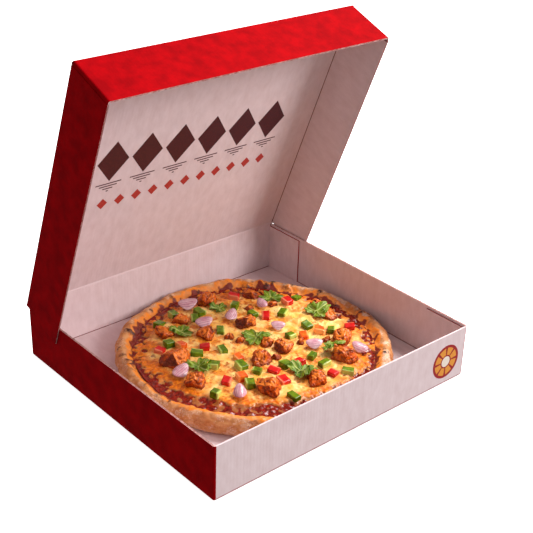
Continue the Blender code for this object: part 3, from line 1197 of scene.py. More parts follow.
    def build_fold(self) -> bpy.types.Object:
        """Builds the bend of the board from the back wall's top to the lid.

        Returns:
            The bend.
        """
        half, lap, steps = self.board / 2, self.fold_lap, 6
        ends = (self.high.x - 0.3 * MM, self.lid_high.x - 0.5 * MM)
        wall = (Vector((0, half, -lap)), Vector((0, -half, -lap)))
        lid = [self.opened @ Vector((0, self.lid_high.y - lap, z))
               for z in (self.lid_high.z, self.lid_high.z - self.board)]
        shape = bmesh.new()
        rows = []
        for k in range(steps + 1):
            t = k / steps
            ease = t * t * (3 - 2 * t)
            reach = ends[0] + (ends[1] - ends[0]) * min(1.0, steps * t)
            row = []
            for x in (-reach, reach):
                for a, b in zip(wall, lid):
                    p = a.lerp(b, t)
                    p.y = a.y + (b.y - a.y) * ease
                    row.append(shape.verts.new(self.hinge + EX * x + p))
            rows.append(row)
        for a, b in zip(rows, rows[1:]):
            shape.faces.new((a[0], a[2], b[2], b[0])).material_index = BoardShape.OUTER
            shape.faces.new((a[1], b[1], b[3], a[3])).material_index = BoardShape.INNER
            shape.faces.new((a[0], b[0], b[1], a[1])).material_index = BoardShape.CUT
            shape.faces.new((a[2], a[3], b[3], b[2])).material_index = BoardShape.CUT
        for row in (rows[0], rows[-1]):
            shape.faces.new((row[0], row[1], row[3], row[2])).material_index = BoardShape.CUT
        bmesh.ops.recalc_face_normals(shape, faces=shape.faces)
        name = "lid_fold_board"
        obj = placed(name, mesh_of(shape, name, *self.finishes[:3]))
        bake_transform(obj)
        return obj

    def build(self) -> None:
        """Builds the box, and gives the tray, the lid and their flutes to their bodies."""
        tray, lid = self.build_tray(), self.build_lid()
        self.build_fold()
        for obj, body, node in ((tray, Body.TRAY, "box_tray"), (lid, Body.LID, "box_lid")):
            hand_over(obj, body, Slot.BOARD, node)
            hand_over(self.join_ribbons(body), body, Slot.BOARD)


# Pizza


@dataclass(frozen=True)
class PizzaPlan:
    """The pizza's sizes and its uneven outlines, in its own frame."""

    centre: tuple = (0.011, 0.002, 0.0018)
    radius: float = 0.124
    rim_width: float = 0.017
    rim_crest: float = 0.0066
    rim_height: float = 0.0158
    rim_puff: float = 0.10
    base: float = 0.005
    cheese: float = 0.0118
    dip: float = 0.0014
    gap: float = 0.0003
    view_turn: float = math.radians(-42.5)
    near_side: float = math.radians(-147.5)
    bare_side: float = math.radians(-132)
    # the side where the rim is palest: flour, and painted light on that side
    flour_and_light_side: float = math.radians(-20)

    @staticmethod
    def waver(angle: float, detail: float, seed: float) -> float:
        """Smooth noise round a circle, between about -1 and 1."""
        return 2.0 * noise.noise(Vector((detail * math.cos(angle), detail * math.sin(angle), seed)))

    def outline(self, angle: float) -> float:
        """The crust's outer radius."""
        swings = ((0.011, 1.3, 4.0), (0.005, 4.0, 9.0), (0.0025, 9.0, 1.0))
        return self.radius * (1.0 + sum(swing * self.waver(angle, *sort) for swing, *sort in swings))

    def crest(self, angle: float) -> float:
        """The height of the rim's crest."""
        return self.rim_height * (1 + self.rim_puff * math.cos(angle - self.near_side)
                                  + 0.11 * self.waver(angle, 2.6, 2.0))

    def cheese_top(self, radius: float, angle: float) -> float:
        """The height of the melted cheese, without its fine relief.

        Args:
            radius: a point's distance from the pizza's middle.
            angle: its angle round the middle.

        Returns:
            The height there.
        """
        edge = (self.radius - self.rim_width) * 0.93
        dip = smoothstep(edge * 0.88, edge, radius)
        x = radius * math.cos(angle)
        y = radius * math.sin(angle)
        lumps = noise.noise(Vector((x, y, 0.01)) * 28) * 0.0016
        lumps += noise.noise(Vector((y, x, 0.03)) * 52) * 0.0007
        return self.cheese + lumps - self.dip * dip

    def resting(self, across_mm: float, away_mm: float, lift: float) -> Vector:
        """A topping's middle, from its place in the view.

        Args:
            across_mm: its place to the right, in millimetres.
            away_mm: its place away from the eye, in millimetres.
            lift: its height above the cheese.

        Returns:
            Its middle in the model's frame.
        """
        c, s = math.cos(self.view_turn), math.sin(self.view_turn)
        at = Vector((across_mm * c - away_mm * s, across_mm * s + away_mm * c, 0.0)) * MM
        height = self.cheese_top(math.hypot(at.x, at.y), math.atan2(at.y, at.x))
        return at + Vector(self.centre) + EZ * (height + lift)


class Crust:
    """The dough: a thin base and a puffed rim, modelled from the same outlines as the
    solid, with the wrinkles, blisters and flour of the oven."""

    SECTORS = 880
    SECTION = 60
    BLISTERS = 64
    SLOPE_END = 9.6 * MM

    def __init__(self, plan: PizzaPlan) -> None:
        """Keeps the plan that gives its outline."""
        self.plan = plan

    def section(self, angle: float) -> list:
        """The rim's section.

        Args:
            angle: the angle round the pizza.

        Returns:
            Its points as radius and height, from under the rim to inside it.
        """
        plan = self.plan
        outer = plan.outline(angle)
        crest = plan.crest(angle)
        points = [(outer - plan.rim_width * 0.62, 0.0), (outer - plan.rim_width * 0.34, 0.0)]
        start, stop = math.radians(-58), math.radians(180)
        for k in range(self.SECTION - 4):
            turn = start + (stop - start) * k / (self.SECTION - 5)
            reach = math.cos(turn)
            inset = plan.rim_crest * (1 - reach)
            level = crest * (0.5 + 0.5 * math.sin(turn))
            if reach < 0:
                inset = plan.rim_crest + (turn / math.pi - 0.5) * 2 * (plan.rim_width - plan.rim_crest)
                level = self.SLOPE_END + (crest - self.SLOPE_END) * (0.5 - 0.5 * math.cos(2 * turn))
            points.append((outer - inset, level))
        points.append((outer - plan.rim_width, (self.SLOPE_END + plan.base) / 2))
        points.append((outer - plan.rim_width, plan.base))
        return points

    def build(self) -> bpy.types.Object:
        """Builds the crust.

        Returns:
            The piece.
        """
        plan = self.plan
        shape = bmesh.new()
        rings = []
        for i in range(self.SECTORS):
            angle = FULL_TURN * i / self.SECTORS
            rings.append([shape.verts.new((r * math.cos(angle), r * math.sin(angle), z))
                          for r, z in self.section(angle)])
        under = shape.verts.new((0, 0, 0))
        over = shape.verts.new((0, 0, plan.base))
        for a, b in zip(rings, rings[1:] + rings[:1]):
            for k in range(len(a) - 1):
                shape.faces.new((a[k], b[k], b[k + 1], a[k + 1]))
            shape.faces.new((under, b[0], a[0]))
            shape.faces.new((over, a[-1], b[-1]))
        mesh = mesh_of(shape, "baked_crust")
        self.roughen(mesh)
        return dress(mesh, mesh.name, BakedDough().make(), Slot.DOUGH, "pizza_crust")

    def roughen(self, mesh: bpy.types.Mesh) -> None:
        """Adds the oven's relief and stores the masks for its colours.

        Args:
            mesh: the crust.
        """
        plan = self.plan
        points = read_points(mesh)
        outward = read_points(mesh, "normal")
        angle = np.arctan2(points[:, 1], points[:, 0])
        outer = np.array([plan.outline(a) for a in angle])
        crest = np.array([plan.crest(a) for a in angle])
        inset = outer - np.hypot(points[:, 0], points[:, 1])
        height = points[:, 2] / crest
        rim = smoothstep(0.02, 0.2, height) * smoothstep(plan.rim_width * 1.01, plan.rim_width * 0.8, inset)
        along = np.stack([np.cos(angle) * 0.11, np.sin(angle) * 0.11, points[:, 2] * 3.2], axis=1)
        wrinkle = noise_at(along, 0.011, 3.0)
        swell = noise_at(points, 0.015, 5.0)
        knobs = noise_at(points, 0.0058, 7.0)
        grain = noise_at(points, 0.0021, 9.0)
        push = 0.00055 * swell + 0.0004 * knobs + 0.00014 * grain
        push += -0.0007 * smoothstep(0.2, 0.75, wrinkle) * smoothstep(0.009, 0.0, inset)
        burnt = np.zeros(len(points))
        draw = random.Random(5)
        for _ in range(self.BLISTERS):
            a = draw.uniform(-math.pi, math.pi)
            inward = draw.triangular(0.004, 0.0165, 0.0115)
            size = draw.uniform(0.0018, 0.0046)
            tall = size * draw.uniform(0.18, 0.34)
            dark = draw.choice((0.25, 0.7, 1.0))
            apart = np.hypot(np.angle(np.exp(1j * (angle - a))) * outer, (inset - inward) * 0.8)
            dome = np.clip(1 - (apart / size) ** 2, 0, 1) * (points[:, 2] > 0.4 * crest)
            push += tall * np.sqrt(dome) * 0.8
            burnt = np.maximum(burnt, dark * smoothstep(0.15, 0.8, dome))
        set_points(mesh, points + outward * (push * rim)[:, None] + np.array(plan.centre))
        blur = 0.0016 * swell + 0.0012 * knobs + 0.0004 * grain
        bare = smoothstep(0.25, 1.0, np.cos(angle - plan.bare_side))
        slope = smoothstep(0.0078, 0.0098, inset + blur + 0.0038 * bare)
        saucy = smoothstep(0.0126, 0.0140, inset + 1.6 * blur + 0.0022 * noise_at(points, 0.007, 33.0))
        set_mask(mesh, "oil", slope * (0.74 + 0.30 * knobs + 0.15 * grain))
        set_mask(mesh, "sauce", saucy)
        # the rim's outer wall is darker towards its foot, laid in the toast colour
        side = smoothstep(0.004, 0.0, inset - 0.002 * knobs) * smoothstep(0.75, 0.3, height)
        tan = smoothstep(0.1, 0.7, swell) * (1 - slope)
        set_mask(mesh, "toast", np.maximum(0.5 * tan, 0.4 * side))
        dust = noise_at(points, 0.010, 21.0) + 0.35 * noise_at(points, 0.003, 22.0) + 0.2 * grain
        # flour, plus painted light: more of it towards one side of the rim and less opposite
        flour_and_light = 0.42 + 0.26 * np.cos(angle - plan.flour_and_light_side)
        set_mask(mesh, "flour", flour_and_light * smoothstep(-0.20, 0.70, dust) * (1 - slope))
        set_mask(mesh, "char", burnt * smoothstep(-0.9, 0.4, grain))


class Cheese:
    """The sauce and the melted cheese in the crust's well."""

    CELLS = 264
    CLIMB = 1.6 * MM

    def __init__(self, plan: PizzaPlan) -> None:
        """Keeps the plan, and where the chunks of chicken lie.

        Args:
            plan: the pizza's plan.
        """
        self.plan = plan
        centre = Vector(plan.centre)
        self.chunks = []
        for name in nodes_of("chicken"):
            low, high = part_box(name)
            middle = (Vector(low) + Vector(high)) / 2 - centre
            self.chunks.append((middle.x, middle.y, (high[0] - low[0] + high[1] - low[1]) / 4))

    def disc(self) -> tuple[bmesh.types.BMesh, list]:
        """An even grid over the unit disc.

        Returns:
            The grid, and the points of its rim in order.
        """
        n = self.CELLS
        shape = bmesh.new()
        grid = []
        for i in range(n + 1):
            row = []
            for j in range(n + 1):
                a = 2 * i / n - 1
                b = 2 * j / n - 1
                if a == 0 and b == 0:
                    r, turn = 0.0, 0.0
                elif abs(a) > abs(b):
                    r, turn = a, math.pi / 4 * b / a
                else:
                    r, turn = b, math.pi / 2 - math.pi / 4 * a / b
                row.append(shape.verts.new((r * math.cos(turn), r * math.sin(turn), 0)))
            grid.append(row)
        for i in range(n):
            for j in range(n):
                shape.faces.new((grid[i][j], grid[i + 1][j], grid[i + 1][j + 1], grid[i][j + 1]))
        rim = [grid[i][0] for i in range(n)] + [grid[n][j] for j in range(n)]
        rim += [grid[i][n] for i in range(n, 0, -1)] + [grid[0][j] for j in range(n, 0, -1)]
        return shape, rim

    def build(self) -> bpy.types.Object:
        """Builds the cheese.

        Returns:
            The piece.
        """
        plan = self.plan
        shape, rim = self.disc()
        lowest = plan.base + plan.gap
        below = [shape.verts.new((v.co.x, v.co.y, -1.0)) for v in rim]
        centre = shape.verts.new((0, 0, -1.0))
        for k in range(len(rim)):
            m = (k + 1) % len(rim)
            shape.faces.new((rim[m], rim[k], below[k], below[m]))
            shape.faces.new((below[m], below[k], centre))
        mesh = mesh_of(shape, "melted_cheese")
        points = read_points(mesh)
        share = np.hypot(points[:, 0], points[:, 1])
        angle = np.arctan2(points[:, 1], points[:, 0])
        edge = np.array([plan.outline(a) for a in angle]) - plan.rim_width + self.CLIMB
        radius = share * edge
        flat = np.stack([radius * np.cos(angle), radius * np.sin(angle), np.zeros(len(radius))], axis=1)
        top = points[:, 2] > -0.5
        base = np.array([plan.cheese_top(r, a) for r, a in zip(radius, angle)])
        relief = self.masks(mesh, flat, edge - radius)
        flat[:, 2] = np.where(top, base + relief, lowest)
        set_points(mesh, flat + np.array(plan.centre))
        return dress(mesh, mesh.name, MeltedCheese().make(), Slot.CHEESE, "pizza_cheese")

    def masks(self, mesh: bpy.types.Mesh, flat: np.ndarray, inward: np.ndarray) -> np.ndarray:
        """Stores the masks for the colours, and returns the fine relief.

        Args:
            mesh: the mesh that gets the masks.
            flat: its points at height 0.
            inward: each point's distance from the cheese's edge.

        Returns:
            The height to add at each point.
        """
        broad = noise_at(flat, 0.013, 2.0)
        blobs = noise_at(flat, 0.0062, 4.0)
        curds = noise_at(flat, 0.0027, 6.0)
        specks = noise_at(flat, 0.0013, 8.0)
        near = np.full(len(flat), 1.0)
        for x, y, reach in self.chunks:
            near = np.minimum(near, np.abs(np.hypot(flat[:, 0] - x, flat[:, 1] - y) - reach * 0.8))
        away = np.cos(np.arctan2(flat[:, 1], flat[:, 0]) - self.plan.bare_side)
        bare = smoothstep(0.25, 1.0, away)
        band = 0.0066 + 0.0030 * broad + 0.0120 * bare
        sauce = smoothstep(band + 0.0011, band - 0.0011, inward + 0.0020 * blobs + 0.0004 * curds)
        bridges = smoothstep(0.42, 0.55, noise_at(flat, 0.0060, 31.0) + 0.25 * curds)
        sauce *= 1 - bridges * (1 - 0.8 * bare)
        drops = smoothstep(0.60, 0.68, noise_at(flat, 0.0065, 12.0)) * smoothstep(0.026, 0.012, inward)
        sauce = np.maximum(sauce, drops)
        ring = smoothstep(0.028, 0.009, inward - 0.008 * bare + 0.007 * broad + 0.003 * blobs)
        smear = smoothstep(0.02, 0.52, noise_at(flat, 0.0085, 14.0) + 0.35 * curds)
        oil = np.maximum(0.95 * ring, 0.68 * smear)
        oil = np.maximum(oil, 0.65 * smoothstep(0.0046, 0.0, near + 0.0012 * curds))
        toast = smoothstep(0.26, 0.60, noise_at(flat, 0.0030, 17.0) + 0.3 * specks)
        toast *= smoothstep(-0.35, 0.4, noise_at(flat, 0.016, 19.0))
        toast = np.maximum(toast * 0.82, 0.9 * ring * smoothstep(0.20, 0.50, noise_at(flat, 0.0036, 23.0)))
        set_mask(mesh, "sauce", sauce)
        set_mask(mesh, "oil", oil * (1 - sauce))
        set_mask(mesh, "toast", toast * (1 - sauce))
        cheesy = 0.00042 * blobs + 0.00026 * curds + 0.00008 * specks
        rise = 0.0007 * smoothstep(0.003, 0.0, near)
        edge_hold = smoothstep(0.0, 0.002, inward)
        pulp = 0.0007 * sauce * noise_at(flat, 0.0050, 27.0)
        return (cheesy * (1 - 0.6 * sauce) + pulp - 0.0010 * sauce + rise + 0.0003) * edge_hold


class Chicken:
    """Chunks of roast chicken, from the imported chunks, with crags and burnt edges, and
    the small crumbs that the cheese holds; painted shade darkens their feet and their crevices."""

    CRUMBS = ((-23, 12, 9), (-14, 7, 9), (-23, 97, 9), (-7, 66, 8), (14, 75, 8), (20, -17, 8), (41, 9, 8),
              (64, 16, 8))
    CELL = 0.55 * MM
    FACES = 10

    def __init__(self, plan: PizzaPlan) -> None:
        """Keeps the plan that gives the cheese's height."""
        self.plan = plan

    def cut_faces(self, mesh: bpy.types.Mesh, draw: random.Random) -> None:
        """Flattens a chunk's sides where a knife or a tear cut it.

        Args:
            mesh: the chunk.
            draw: gives the cuts.
        """
        points = read_points(mesh)
        low, high = points.min(0), points.max(0)
        middle = (low + high) / 2
        for _ in range(self.FACES):
            turn = draw.uniform(0, FULL_TURN)
            lift = draw.uniform(-0.1, 1.2)
            way = np.array((math.cos(turn) * math.cos(lift), math.sin(turn) * math.cos(lift), math.sin(lift)))
            reach = (points - middle) @ way
            most = reach.max() * draw.uniform(0.52, 0.80)
            over = np.clip(reach - most, 0, None)
            points = points - way * (over * 0.97)[:, None]
        share = (points - points.min(0)) / np.ptp(points, axis=0)
        set_points(mesh, low + share * (high - low))

    def build(self) -> bpy.types.Object:
        """Builds the chunks as one piece.

        Returns:
            The piece.
        """
        names = nodes_of("chicken")
        joined = bmesh.new()
        draw = random.Random(23)
        for name in names:
            rough = remeshed(name, f"rough_{name}", self.CELL)
            self.cut_faces(rough, draw)
            joined.from_mesh(rough)
        for across, away, width in self.CRUMBS:
            ball = bmesh.new()
            bmesh.ops.create_icosphere(ball, subdivisions=4, radius=width * MM / 2)
            bmesh.ops.scale(ball, vec=(1.0, 0.82, 0.7), verts=ball.verts)
            at = self.plan.resting(across, away, width * 0.16 * MM)
            bmesh.ops.translate(ball, vec=at, verts=ball.verts)
            crumb = mesh_of(ball, "crumb")
            self.cut_faces(crumb, draw)
            joined.from_mesh(crumb)
        mesh = mesh_of(joined, "roast_chicken")
        points = read_points(mesh)
        outward = read_points(mesh, "normal")
        crag = noise_at(points, 0.0046, 2.0)
        knobs = 0.5 - np.abs(noise_at(points, 0.0026, 4.0))
        fibre = noise_at(points, 0.0012, 6.0)
        cleft = smoothstep(0.08, 0.0, np.abs(noise_at(points, 0.0085, 8.0)))
        pits = smoothstep(0.50, 0.80, noise_at(points, 0.0030, 11.0))
        push = 0.0006 + 0.00060 * crag + 0.00055 * knobs + 0.00018 * fibre - 0.0011 * cleft - 0.0007 * pits
        set_points(mesh, points + outward * push[:, None])
        high = points[:, 2] - self.plan.centre[2] - self.plan.cheese
        facing = noise_at(outward, 0.55, 14.0) + 0.25 * crag
        # the chunks darken in the char colour towards the cheese: painted shade at their feet
        low = smoothstep(0.0045, 0.0005, high)
        burnt = smoothstep(0.10, 0.80, facing + 0.4 * noise_at(points, 0.004, 10.0))
        # clefts and pits take the char colour: char, and painted shade in the crevices
        crevice_char_and_shade = np.maximum(0.70 * cleft, 0.5 * pits)
        set_mask(mesh, "char", np.maximum(0.8 * burnt, np.maximum(crevice_char_and_shade, 0.7 * low)))
        set_mask(mesh, "meat", 0.7 * smoothstep(0.1, 0.6, -facing + 0.3 * fibre) * (1 - low) * (1 - crevice_char_and_shade))
        return dress(mesh, mesh.name, RoastChicken().make(), Slot.CHICKEN, *names)


class Pepper(Enum):
    """The colours of the pepper dice."""

    GREEN = "green"
    RED = "red"
    ORANGE = "orange"


class PepperDice:
    """Dice of pepper, half sunk in the cheese: a glossy skin above, cut flesh at the sides."""

    GREEN = ((-78, 47), (-54, 53), (-57, 41), (-22, 68), (-89, 29), (-76, -5), (-50, -19), (-32, 22),
             (-28, -11), (-34, -39), (-10, -37), (-29, -79), (-4, 53), (4, -44), (-1, -64), (36, 90),
             (24, 59), (32, 19), (47, 38), (69, 33), (51, -16), (28, -29), (62, -27), (82, -37), (36, -79))
    RED = ((-24, 85), (-83, -15), (-65, -7), (-44, -8), (-13, -23), (-21, -61), (-9, -55), (28, 78), (8, 51),
           (44, 20), (58, 30), (86, 40), (40, -25), (18, -41), (27, -57), (69, -41))
    ORANGE = ((-65, -7), (-13, -23), (-9, -55), (58, 30), (44, 20))
    SIZE = (0.0102, 0.0082, 0.0066)
    SUNK = 0.0018
    FINISHES = {
        Pepper.GREEN: Vegetable("green_pepper", "446004", "6E860A", "BCCA66"),
        Pepper.RED: Vegetable("red_pepper", "B80C0C", "D41C16", "E8805C"),
        Pepper.ORANGE: Vegetable("orange_pepper", "D8480F", "EE7420", "F6A860"),
    }

    def __init__(self, plan: PizzaPlan) -> None:
        """Keeps the plan that gives the cheese's height."""
        self.plan = plan

    def die(self, at: Vector, size: tuple, turn: float, draw: random.Random,
            fine: random.Random) -> bpy.types.Mesh:
        """One dice, with uneven corners, rounded edges and a slight curl.

        Args:
            at: its middle.
            size: its length, width and thickness.
            turn: its heading.
            draw: gives its corners, in the solid's own order.
            fine: gives its finer unevenness.

        Returns:
            Its mesh, with the flesh mask.
        """
        shape = bmesh.new()
        bmesh.ops.create_cube(shape, size=1.0)
        tip = draw.uniform(-0.22, 0.22)
        corners = []
        for vert in shape.verts:
            corner = Vector(math.copysign(s / 2, c) * draw.uniform(0.82, 1.1) for s, c in zip(size, vert.co))
            corner.z += corner.x * tip
            corners.append(corner)
        for vert, corner in zip(shape.verts, corners):
            vert.co = corner
        bmesh.ops.bevel(shape, geom=shape.edges, offset=0.00085, segments=3, profile=0.55, affect="EDGES")
        longer = [edge for edge in shape.edges if edge.calc_length() > 0.002]
        bmesh.ops.subdivide_edges(shape, edges=longer, cuts=4, use_grid_fill=True)
        curl = fine.uniform(-10, 16)
        shift = fine.uniform(0, 9)
        spin = Matrix.Rotation(turn, 3, "Z")
        flesh_side = fine.choice((-1, 1))
        flesh = []
        for vert in shape.verts:
            co = vert.co
            u = co.x / size[0] * 2
            v = co.y / size[1] * 2
            flesh.append(max(0.0, min(1.0, (flesh_side * v - 0.62) / 0.2)))
            co = co + Vector((0, 0, curl * (co.x ** 2 - 0.00001)))
            co += vert.normal * 0.00016 * noise.noise(co / 0.0025 + Vector((shift, u, v)))
            vert.co = spin @ co + at
        mesh = mesh_of(shape, "die")
        set_mask(mesh, "flesh", np.array(flesh))
        return mesh

    def build(self) -> None:
        """Builds the dice, as one piece for each colour."""
        draw = random.Random(11)
        fine = random.Random(3)
        joined = {kind: bmesh.new() for kind in Pepper}
        for at_mm in self.GREEN + self.RED:
            kind = Pepper.ORANGE if at_mm in self.ORANGE else Pepper.RED
            if at_mm in self.GREEN:
                kind = Pepper.GREEN
            size = tuple(s * draw.uniform(0.85, 1.12) for s in self.SIZE)
            at = self.plan.resting(*at_mm, size[2] / 2 - self.SUNK)
            turn = draw.uniform(0, math.pi)
            joined[kind].from_mesh(self.die(at, size, turn, draw, fine))
        for kind, shape in joined.items():
            bmesh.ops.recalc_face_normals(shape, faces=shape.faces)
            mesh = mesh_of(shape, f"{kind.value}_pepper_dice")
            slot = Slot.LEAF if kind is Pepper.GREEN else Slot.CHICKEN
            dress(mesh, mesh.name, self.FINISHES[kind].make(), slot)


class Onion:
    """Short pieces of one layer of a red onion, bowed up in the middle."""

    SMOOTH = 3

    def build(self) -> bpy.types.Object:
        """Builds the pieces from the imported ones, refined and ribbed.

        Returns:
            The piece.
        """
        names = nodes_of("onion")
        joined = bmesh.new()
        across_all = joined.verts.layers.float.new("across")
        edge_all = joined.verts.layers.float.new("edge")
        for name in names:
            obj = placed(f"fine_{name}", mesh_of(cad_copy(name), name))
            step = obj.modifiers.new("round", "SUBSURF")
            step.levels = step.render_levels = self.SMOOTH
            fine = settled(obj)
            points = read_points(fine)
            middle = points.mean(0)
            flat = points[:, :2] - middle[:2]
            _, axes = np.linalg.eigh(np.cov(flat.T))
            side = flat @ axes[:, 0]
            length = flat @ axes[:, 1]
            reach = np.abs(side).max()
            start = len(joined.verts)
            joined.from_mesh(fine)
            joined.verts.ensure_lookup_table()
            swing = 1 + 0.35 * (length / np.abs(length).max()) ** 2
            for k, (s, w) in enumerate(zip(side, swing)):
                vert = joined.verts[start + k]
                vert[across_all] = s * w / reach / 2 + 0.5
                vert[edge_all] = 0.5 * max(0.0, abs(s) / reach - 0.8) / 0.2
        bmesh.ops.recalc_face_normals(joined, faces=joined.faces)
        mesh = mesh_of(joined, "red_onion")
        return dress(mesh, mesh.name, RedOnion().make(), Slot.ONION, *names)


class Coriander:
    """Coriander leaves draped over the toppings: toothed lobes, veins and a short stalk."""

    LOBES = ((0.0, 1.0), (1.85, 0.92), (-1.85, 0.92))
    AROUND = 132
    RINGS = 12
    TEETH = 6.5
    THICK = 0.00045
    VEIN = 0.0007

    def reach(self, angle: float, ragged: float) -> float:
        """The outline's reach: lobes, notches between them, and teeth.

        Args:
            angle: the angle from the middle lobe.
            ragged: moves the teeth, so that two leaves differ.

        Returns:
            The reach, from 0 to 1.
        """
        best = 0.45
        for lobe, size in self.LOBES:
            away = math.remainder(angle - lobe, FULL_TURN)
            best = max(best, size * math.exp(-abs(away / 1.0) ** 4))
        teeth = abs(math.sin(angle * self.TEETH + ragged)) ** 0.9
        return best * (0.80 + 0.22 * teeth)

    def leaf(self, name: str, ragged: float) -> bpy.types.Mesh:
        """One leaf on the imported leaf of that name.

        Args:
            name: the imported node.
            ragged: moves the teeth, so that two leaves differ.

        Returns:
            Its mesh, with the vein mask.
        """
        solid = cad_copy(name)
        hub = max(solid.verts, key=lambda v: (len(v.link_edges), v.co.z))
        centre = hub.co.copy()
        tip = max(solid.verts, key=lambda v: (v.co - centre).to_2d().length).co
        size = (tip - centre).to_2d().length
        heading = math.atan2(tip.y - centre.y, tip.x - centre.x)
        tree = BVHTree.FromBMesh(solid)
        solid.free()
        shape = bmesh.new()
        vein = shape.verts.layers.float.new("vein")
        top_rows, low_rows = [], []
        for k in range(self.RINGS + 1):
            share = (k / self.RINGS) ** 0.85
            top_row, low_row = [], []
            for i in range(self.AROUND):
                angle = FULL_TURN * i / self.AROUND
                r = self.reach(angle, ragged) * size * share
                x = centre.x + r * math.cos(angle + heading)
                y = centre.y + r * math.sin(angle + heading)
                hit = tree.ray_cast(Vector((x, y, 1.0)), -EZ)[0]
                if hit is None:
                    hit = tree.find_nearest(Vector((x, y, centre.z)))[0]
                middle = min(abs(math.remainder(angle - lobe, FULL_TURN)) for lobe, _ in self.LOBES)
                arms = abs(math.sin(angle * self.TEETH + ragged))
                line = max(0.0, 1 - middle * share * size / self.VEIN) if share > 0.05 else 0.6
                fine = max(0.0, 1 - (1 - arms) * share * size / self.VEIN) * 0.4 * min(1.0, share * 2)
                line = max(line, fine)
                ruffle = 0.0007 * math.sin(angle * self.TEETH + ragged) * share ** 2
                z = hit.z + ruffle - 0.00025 * line + 0.0009 * share * share
                upper = shape.verts.new((x, y, z))
                lower = shape.verts.new((x, y, z - self.THICK))
                upper[vein] = lower[vein] = min(1.0, line)
                top_row.append(upper)
                low_row.append(lower)
            top_rows.append(top_row)
            low_rows.append(low_row)
        for k in range(self.RINGS):
            for i in range(self.AROUND):
                j = (i + 1) % self.AROUND
                shape.faces.new((top_rows[k][i], top_rows[k + 1][i], top_rows[k + 1][j], top_rows[k][j]))
                shape.faces.new((low_rows[k][j], low_rows[k + 1][j], low_rows[k + 1][i], low_rows[k][i]))
        for i in range(self.AROUND):
            j = (i + 1) % self.AROUND
            shape.faces.new((top_rows[-1][i], low_rows[-1][i], low_rows[-1][j], top_rows[-1][j]))
        bmesh.ops.remove_doubles(shape, verts=top_rows[0] + low_rows[0], dist=0.00001)
        self.stalk(shape, centre, heading + math.pi, size, vein)
        return mesh_of(shape, name)

    def stalk(self, shape: bmesh.types.BMesh, start: Vector, heading: float, size: float,
              vein: bmesh.types.BMLayerItem) -> None:
        """Adds a short curved stalk from the leaf's middle.

        Args:
            shape: the leaf that gets it.
            start: the leaf's middle.
            heading: the stalk's heading.
            size: the leaf's size.
            vein: the layer of the vein mask.
        """
        sides = 7
        rings = []
        steps = 9
        length = size * 0.5
        for k in range(steps + 1):
            t = k / steps
            turn = heading + 0.5 * t
            x = start.x + math.cos(turn) * length * t
            y = start.y + math.sin(turn) * length * t
            z = start.z + 0.0004 + 0.0008 * math.sin(t * 2.6)
            thick = 0.00052 - 0.00012 * t
            cross = Vector((-math.sin(turn), math.cos(turn), 0))
            ring = []
            for m in range(sides):
                a = FULL_TURN * m / sides
                around = cross * math.cos(a) + EZ * math.sin(a)
                vert = shape.verts.new(Vector((x, y, z)) + around * thick)
                vert[vein] = 0.45
                ring.append(vert)
            rings.append(ring)
        for a, b in zip(rings, rings[1:]):
            for m in range(sides):
                n = (m + 1) % sides
                shape.faces.new((a[m], b[m], b[n], a[n]))
        shape.faces.new(rings[0])
        shape.faces.new(rings[-1][::-1])

    def build(self) -> bpy.types.Object:
        """Builds the leaves as one piece.

        Returns:
            The piece.
        """
        names = nodes_of("coriander")
        joined = bmesh.new()
        for number, name in enumerate(names):
            joined.from_mesh(self.leaf(name, number * 1.3))
        mesh = mesh_of(joined, "coriander")
        return dress(mesh, mesh.name, CorianderLeaf().make(), Slot.LEAF, *names)


@dataclass
class SpiceFlecks:
    """Flecks of chilli baked on to the cheese."""

    density: float = 21000.0
    largest: float = 0.00062
    seed: int = 7

    def tree(self, finish: bpy.types.Material) -> bpy.types.GeometryNodeTree:
        """Builds the tree that scatters flecks over the cheese's upper face.

        Args:
            finish: the flecks' material.

        Returns:
            The tree.
        """
        sizes = {"Surface": "Geometry", "Density": "Float", "Largest": "Float", "Seed": "Int"}
        tree, given = start_tree("spice_flecks", sizes)
        facing = add(tree, "ShaderNodeSeparateXYZ", {0: add(tree, "GeometryNodeInputNormal")})
        upper = add(tree, "FunctionNodeCompare", {0: facing.outputs["Z"], 1: 0.4}, operation="GREATER_THAN")
        points = add(tree, "GeometryNodeDistributePointsOnFaces",
                     {"Mesh": given["Surface"], "Selection": upper, "Density": given["Density"],
                      "Seed": given["Seed"]})
        size = add(tree, "FunctionNodeRandomValue", {2: 0.25, 3: 1.0, "Seed": given["Seed"]})
        scale = add(tree, "ShaderNodeMath", {0: size.outputs[1], 1: given["Largest"]}, operation="MULTIPLY")
        even = add(tree, "ShaderNodeCombineXYZ", {"X": scale, "Y": scale, "Z": scale})
        flake = add(tree, "GeometryNodeMeshIcoSphere", {"Radius": 1.0, "Subdivisions": 1})
        pressed = add(tree, "GeometryNodeTransform", {"Geometry": flake, "Scale": (1.0, 0.7, 0.4)})
        spots = add(tree, "GeometryNodeInstanceOnPoints",
                    {"Points": points, "Instance": pressed, "Scale": even,
                     "Rotation": points.outputs["Rotation"]})
        return end_tree(tree, spots, finish)

    def build(self, cheese: bpy.types.Object) -> bpy.types.Object:
        """Scatters the flecks.

        Args:
            cheese: the finished cheese.

        Returns:
            The flecks as one piece.
        """
        name = "spice_flecks"
        finish = Vegetable("chilli_flecks", "8A2A0C", "B8561A", "7A1E08", 2 * MM, 0.5).make()
        values = {"Density": self.density, "Largest": self.largest, "Seed": self.seed}
        mesh = plain_mesh(name, self.tree(finish), values, cheese.data.copy())
        return hand_over(placed(name, mesh), Body.TRAY, Slot.CHICKEN)


